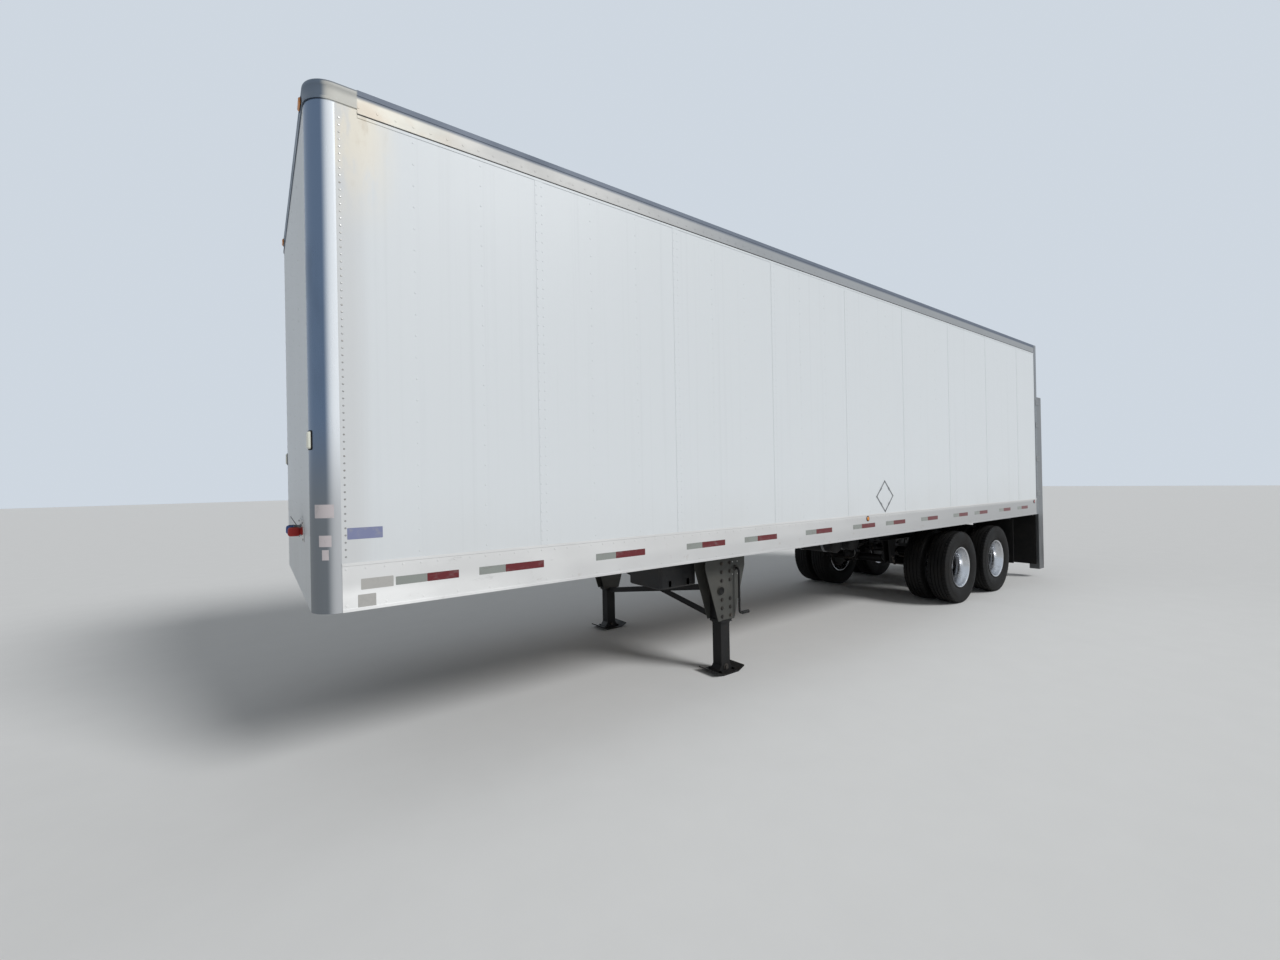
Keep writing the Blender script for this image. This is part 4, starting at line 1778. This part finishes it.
class TRAILER_OT_fittings(bpy.types.Operator):
    """Placard frames, power box, air couplings, the lamp socket and roof seams"""

    bl_idname = "trailer.fittings"
    bl_label = "Boxes and Fittings"

    def execute(self, context):
        self.power_box()
        self.placard_holders()
        self.air_couplings()
        self.service_board()
        self.roof_seams()
        return {"FINISHED"}

    def power_box(self):
        """The lift gate's box under the floor: shell, lid, brow, vents and latches."""
        low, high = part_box("power_box")
        shell = box(low, (high.x, high.y - 0.012, high.z), 0.012)
        lid = box(
            (low.x + 0.012, high.y - 0.016, low.z + 0.014),
            (high.x - 0.012, high.y, high.z - 0.045), 0.006,
        )
        brow_z = high.z - BROW_DROP
        brow = box((low.x, high.y - 0.014, brow_z), (high.x, high.y, brow_z + BROW_DEPTH))
        vent = box((-0.05, -0.001, -0.003), (0.05, 0.003, 0.003), 0.001)
        middle = (low.x + high.x) / 2
        steps = high.z - VENT_DROP - VENT_PITCH * np.arange(VENTS)
        vents = vent.repeated([(middle, high.y - 0.003, z) for z in steps])
        latch = box((-0.018, -0.002, -0.030), (0.018, 0.004, 0.030))
        places = [(low.x + ahead, high.y - 0.004, low.z + 0.05) for ahead in LATCH_PLACES]
        parts = [(shell + lid + brow + vents, "gate_dark"), (latch.repeated(places), "bolt_zinc")]
        put("power_box_case", parts, ["power_box"])

    def placard_holders(self):
        """Square frames on their corner: four strips, each with its clip and rivet."""
        low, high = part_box("placard_frames")
        tilt = math.sqrt(0.5)
        side = (high.z - low.z) / 2 * tilt
        strip = box((-side, -side, 0), (side, -side + PLACARD_STRIP, 0.003), 0.001)
        clip = box((-0.02, -side - 0.001, 0.0015), (0.02, -side + 0.022, 0.0045), 0.001)
        eye = dome(0.004, 0.003).moved(y=-side + PLACARD_STRIP / 2, z=0.003)
        holder = (strip + clip + eye).turned(4).laid((tilt, 0, tilt), (-tilt, 0, tilt), (0, 1, 0))
        holder = holder.moved((low.x + high.x) / 2, SKIN_Y, (low.z + high.z) / 2)
        put_pair("placard_holders", [(holder, "gate_steel")], ["placard_frames"])

    def air_couplings(self):
        """The red and the blue coupling: a neck on the plate, a head, its wing and its seal."""
        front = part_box("gladhands")[1].x - COUPLING_REACH
        place = middle_of("service_plate")
        neck = revolved([(0.026, 0), (0.026, 0.008), (0.016, 0.014), (0.016, 0.045)], 24)
        neck = forwards(neck).moved(NOSE_SKIN + PLATE_THICKNESS)
        head = revolved(
            [(0, -0.030), (0.026, -0.030), (0.0335, -0.022), (0.0335, 0.012), (0.029, 0.022),
             (0.021, 0.026), (0.018, 0.020), (0, 0.020)], 32)
        wing = prism(rounded(-0.012, -0.055, 0.012, 0.0, 0.006, 3), -0.004, 0.004, 0.001)
        seal = revolved([(0.020, 0.020), (0.020, 0.0275), (0.013, 0.0275), (0.013, 0.021)], 24)
        body = neck + (head + wing).moved(front)
        sets = []
        for way, paint in ((1, "coupling_red"), (-1, "coupling_blue")):
            y = place.y + way * COUPLING_SPACING / 2
            sets.append((body.moved(0, y, place.z), paint))
            sets.append((seal.moved(front, y, place.z), "black_rubber"))
        put("air_couplings", sets, ["gladhands"])

    def service_board(self):
        """The plate behind the couplings, its screws, and the lamp socket with its raised lid."""
        low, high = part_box("service_plate")
        place = middle_of("service_plate")
        half = (high.y - low.y) / 2
        board = forwards(plate(half, PLATE_HALF_HEIGHT, PLATE_THICKNESS, 0.012, 4, 0.0015))
        end, over = PLATE_SCREW_PLACE
        corners = [
            (PLATE_THICKNESS, across * (half - end), way * over)
            for across in (1, -1) for way in (1, -1)
        ]
        screws = forwards(hex_head(0.013, 0.005)).repeated(corners)
        socket = forwards(revolved(
            [(0.040, 0), (0.040, 0.005), (0.033, 0.008), (0.033, 0.036), (0.034, 0.040),
             (0.027, 0.040), (0.026, 0.012), (0.004, 0.012), (0.004, 0.030), (0, 0.030)], 32))
        cos, sin = math.cos(SOCKET_LID_ANGLE), math.sin(SOCKET_LID_ANGLE)
        lid = plate(0.034, 0.034, 0.004, 0.016, 5).laid((0, 1, 0), (sin, 0, cos), (cos, 0, -sin))
        socket = (socket + lid.moved(0.040, 0, 0.062)).moved(PLATE_THICKNESS)
        parts = [(board, SLOT_OF["service_plate"]), (screws, "bolt_zinc"), (socket, "gate_steel")]
        parts = [(part.moved(NOSE_SKIN, place.y, place.z), look) for part, look in parts]
        put("service_board", parts, ["service_plate"])

    def roof_seams(self):
        """Flat seams across the roof, one at each joint of its sheets."""
        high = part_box("roof")[1].z
        seam = bar(ROOF_SEAM_HALF, FACE_Y - ROOF_MARGIN, 0, 0.0015, THIN_BEVEL)
        joints = np.arange(WALL_HIGH.x, WALL_LOW.x, -ROOF_SEAM_PITCH)[1:]
        seams = seam.repeated([(x, 0, high) for x in joints])
        put("roof_seams", [(seams, "mill_aluminium")])


# Stage
FLOOR_HALF = 90.0
SKY_TINT = (0.92, 0.96, 1.0)
SENSOR_WIDTH = 36.0
FAR = 400.0


class TRAILER_OT_stage(bpy.types.Operator):
    """Pale floor, even sky, one broad soft lamp and the camera"""

    bl_idname = "trailer.stage"
    bl_label = "Floor, Light and Camera"

    def execute(self, context):
        scene = context.scene
        scene.view_settings.view_transform = "Standard"
        self.floor(scene)
        self.sky(scene)
        self.lamp(scene)
        self.camera(scene)
        return {"FINISHED"}

    def floor(self, scene):
        """A wide flat floor with faint clouds in its colour."""
        colour = tuple(scene.trailer_looks.floor)
        finish = Finish("pale_floor", colour, 0.9)
        cloud = finish.noise(3.0, detail=6.0)
        finish.coat((cloud, shade(colour, 0.95)))
        half = FLOOR_HALF
        corners = [(-half, -half, 0), (half, -half, 0), (half, half, 0), (-half, half, 0)]
        mesh = bpy.data.meshes.new("stage_floor")
        mesh.from_pydata(corners, [], [(0, 1, 2, 3)])
        mesh.materials.append(finish.material)
        ground = bpy.data.objects.new("stage_floor", mesh)
        scene.collection.objects.link(ground)

    def sky(self, scene):
        """The world shows its own colour and lights the trailer with even light."""
        looks = scene.trailer_looks
        world = bpy.data.worlds.new("even_sky")
        world.use_nodes = True
        scene.world = world
        sky = Nodes(world.node_tree)
        rays = [
            sky.node("ShaderNodeLightPath", output=f"Is {kind} Ray")
            for kind in ("Camera", "Glossy", "Transmission")
        ]
        shown = sky.node("ShaderNodeBackground", None, {"Color": rgb(*looks.sky)})
        sockets = {"Color": rgb(*SKY_TINT), "Strength": looks.sky_light}
        light = sky.node("ShaderNodeBackground", None, sockets)
        factor = rays[0] + rays[1] + rays[2]
        either = sky.node("ShaderNodeMixShader", None, {0: factor, 1: light, 2: shown})
        sky.feed(sky.tree.nodes["World Output"].inputs["Surface"], either)

    def lamp(self, scene):
        """One far lamp, so wide that its shadows are soft."""
        looks = scene.trailer_looks
        data = bpy.data.lights.new("soft_lamp", "SUN")
        data.energy = looks.lamp_strength
        data.angle = looks.lamp_softness
        lamp = bpy.data.objects.new("soft_lamp", data)
        towards = Vector(looks.lamp_direction)
        lamp.rotation_euler = towards.to_track_quat("Z", "Y").to_euler()
        scene.collection.objects.link(lamp)

    def camera(self, scene):
        """The camera: turned to its heading, then tilted up, then rolled about its view."""
        view = scene.trailer_view
        data = bpy.data.cameras.new("photo_camera")
        data.lens = view.lens
        data.sensor_width = SENSOR_WIDTH
        data.clip_end = FAR
        camera = bpy.data.objects.new("photo_camera", data)
        turn = Matrix.Rotation(view.heading - math.pi / 2, 4, "Z")
        tilt = Matrix.Rotation(math.pi / 2 + view.tilt, 4, "X")
        roll = Matrix.Rotation(view.roll, 4, "Z")
        camera.matrix_world = Matrix.Translation(Vector(view.place)) @ turn @ tilt @ roll
        scene.collection.objects.link(camera)
        scene.camera = camera


class TRAILER_OT_finishes(bpy.types.Operator):
    """Gives every piece of the frame the finish of its slot"""

    bl_idname = "trailer.finishes"
    bl_label = "Finishes"

    def execute(self, context):
        FINISHES.update(make_finishes(context.scene.trailer_looks))
        for node, shown in frame["nodes"].items():
            shown.data.materials.clear()
            shown.data.materials.append(FINISHES[SLOT_OF[node]])
        return {"FINISHED"}


# Settings
def colour(name, description, default):
    """A colour that a user can set."""
    return bpy.props.FloatVectorProperty(
        name=name, description=description, default=default, subtype="COLOR", min=0.0, max=1.0
    )


def number(name, description, default, unit="NONE"):
    """A number that a user can set, not below 0."""
    return bpy.props.FloatProperty(
        name=name, description=description, default=default, min=0.0, unit=unit
    )


def length(name, description, default):
    """A length that a user can set, in metres."""
    return number(name, description, default, "LENGTH")


def angle(name, description, default):
    """An angle that a user can set; its default is given in degrees."""
    return bpy.props.FloatProperty(
        name=name, description=description, default=math.radians(default), subtype="ANGLE",
        unit="ROTATION",
    )


class TrailerLooks(bpy.types.PropertyGroup):
    panel: colour("Panel", "Colour of the coated side panels", (0.69, 0.722, 0.744))
    corner: colour("Corner", "Tint of the bright corner posts", (0.15, 0.2, 0.28))
    rail: colour("Rails", "Colour of the weathered rails", (0.68, 0.68, 0.675))
    gate: colour("Lift gate", "Colour of the lift gate's paint", (0.19, 0.2, 0.21))
    wheel: colour("Wheels", "Tint of the polished wheels", (0.62, 0.63, 0.65))
    strip: colour("Red strip", "Colour of the red strips", (0.13, 0.004, 0.009))
    dust: colour("Dust", "Colour of the settled road dust", (0.15, 0.135, 0.115))
    floor: colour("Floor", "Colour of the pale floor", (0.78, 0.78, 0.77))
    sky: colour("Sky", "Colour behind the trailer", (0.62, 0.68, 0.75))
    sky_light: number("Sky light", "Strength of the even light", 0.3)
    lamp_strength: number("Lamp strength", "Strength of the soft lamp", 2.15)
    lamp_softness: angle("Lamp softness", "How wide the lamp looks from the trailer", 20.0)
    lamp_direction: bpy.props.FloatVectorProperty(
        name="Lamp direction", description="From the trailer towards the lamp",
        default=(-0.3, 0.735, 0.61), subtype="DIRECTION",
    )


class TrailerSizes(bpy.types.PropertyGroup):
    rivet_radius: length("Rivet radius", "Radius of a wall rivet's head", 0.006)
    rivet_height: length("Rivet height", "How far a rivet stands out", 0.0022)
    rivet_pitch: length("Rivet pitch", "Distance between rivets of a seam", 0.065)
    strip_red: length("Red length", "Length of a strip's red part", 0.279)
    strip_white: length("White length", "Length of a strip's white part", 0.178)
    strip_width: length("Strip width", "Height of a strip", 0.050)
    strip_height: length("Strip place", "Middle of a strip above the rail's lower edge", 0.145)
    strip_thickness: length("Strip thickness", "Thickness of the film", 0.0006)


class TrailerView(bpy.types.PropertyGroup):
    place: bpy.props.FloatVectorProperty(
        name="Camera place", description="Where the camera stands",
        default=(5.8638, 4.6576, 1.8345), subtype="TRANSLATION", unit="LENGTH",
    )
    lens: number("Lens", "Focal length in millimetres", 14.810, "CAMERA")
    heading: angle("Heading", "Direction of view from +X", -126.220)
    tilt: angle("Tilt", "Upward tilt", 0.158)
    roll: angle("Roll", "Roll about the view", -1.066)


class TRAILER_PT_panel(bpy.types.Panel):
    """Lists the trailer's operators and settings"""

    bl_label = "City Semi Trailer"
    bl_idname = "TRAILER_PT_panel"
    bl_space_type = "VIEW_3D"
    bl_region_type = "UI"
    bl_category = "Trailer"

    def draw(self, context):
        for operator in OPERATORS:
            self.layout.operator(operator.bl_idname)
        for group in SETTINGS:
            settings = getattr(context.scene, group)
            for name in settings.bl_rna.properties.keys():
                if name not in ("rna_type", "name"):
                    self.layout.prop(settings, name)


OPERATORS = (
    TRAILER_OT_finishes, TRAILER_OT_stage, TRAILER_OT_nose, TRAILER_OT_rivets,
    TRAILER_OT_strips, TRAILER_OT_wheels, TRAILER_OT_landing_gear, TRAILER_OT_running_gear,
    TRAILER_OT_rear, TRAILER_OT_lamps, TRAILER_OT_fittings,
)
SETTINGS = {
    "trailer_looks": TrailerLooks, "trailer_sizes": TrailerSizes, "trailer_view": TrailerView,
}


def register():
    for kind in (*SETTINGS.values(), *OPERATORS, TRAILER_PT_panel):
        bpy.utils.register_class(kind)
    for name, kind in SETTINGS.items():
        setattr(bpy.types.Scene, name, bpy.props.PointerProperty(type=kind))


def unregister():
    for name in SETTINGS:
        delattr(bpy.types.Scene, name)
    for kind in reversed((*SETTINGS.values(), *OPERATORS, TRAILER_PT_panel)):
        bpy.utils.unregister_class(kind)


def main():
    """Registers the add-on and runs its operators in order."""
    register()
    for operator in OPERATORS:
        group, name = operator.bl_idname.split(".")
        getattr(getattr(bpy.ops, group), name)()


if __name__ == "__main__":
    main()
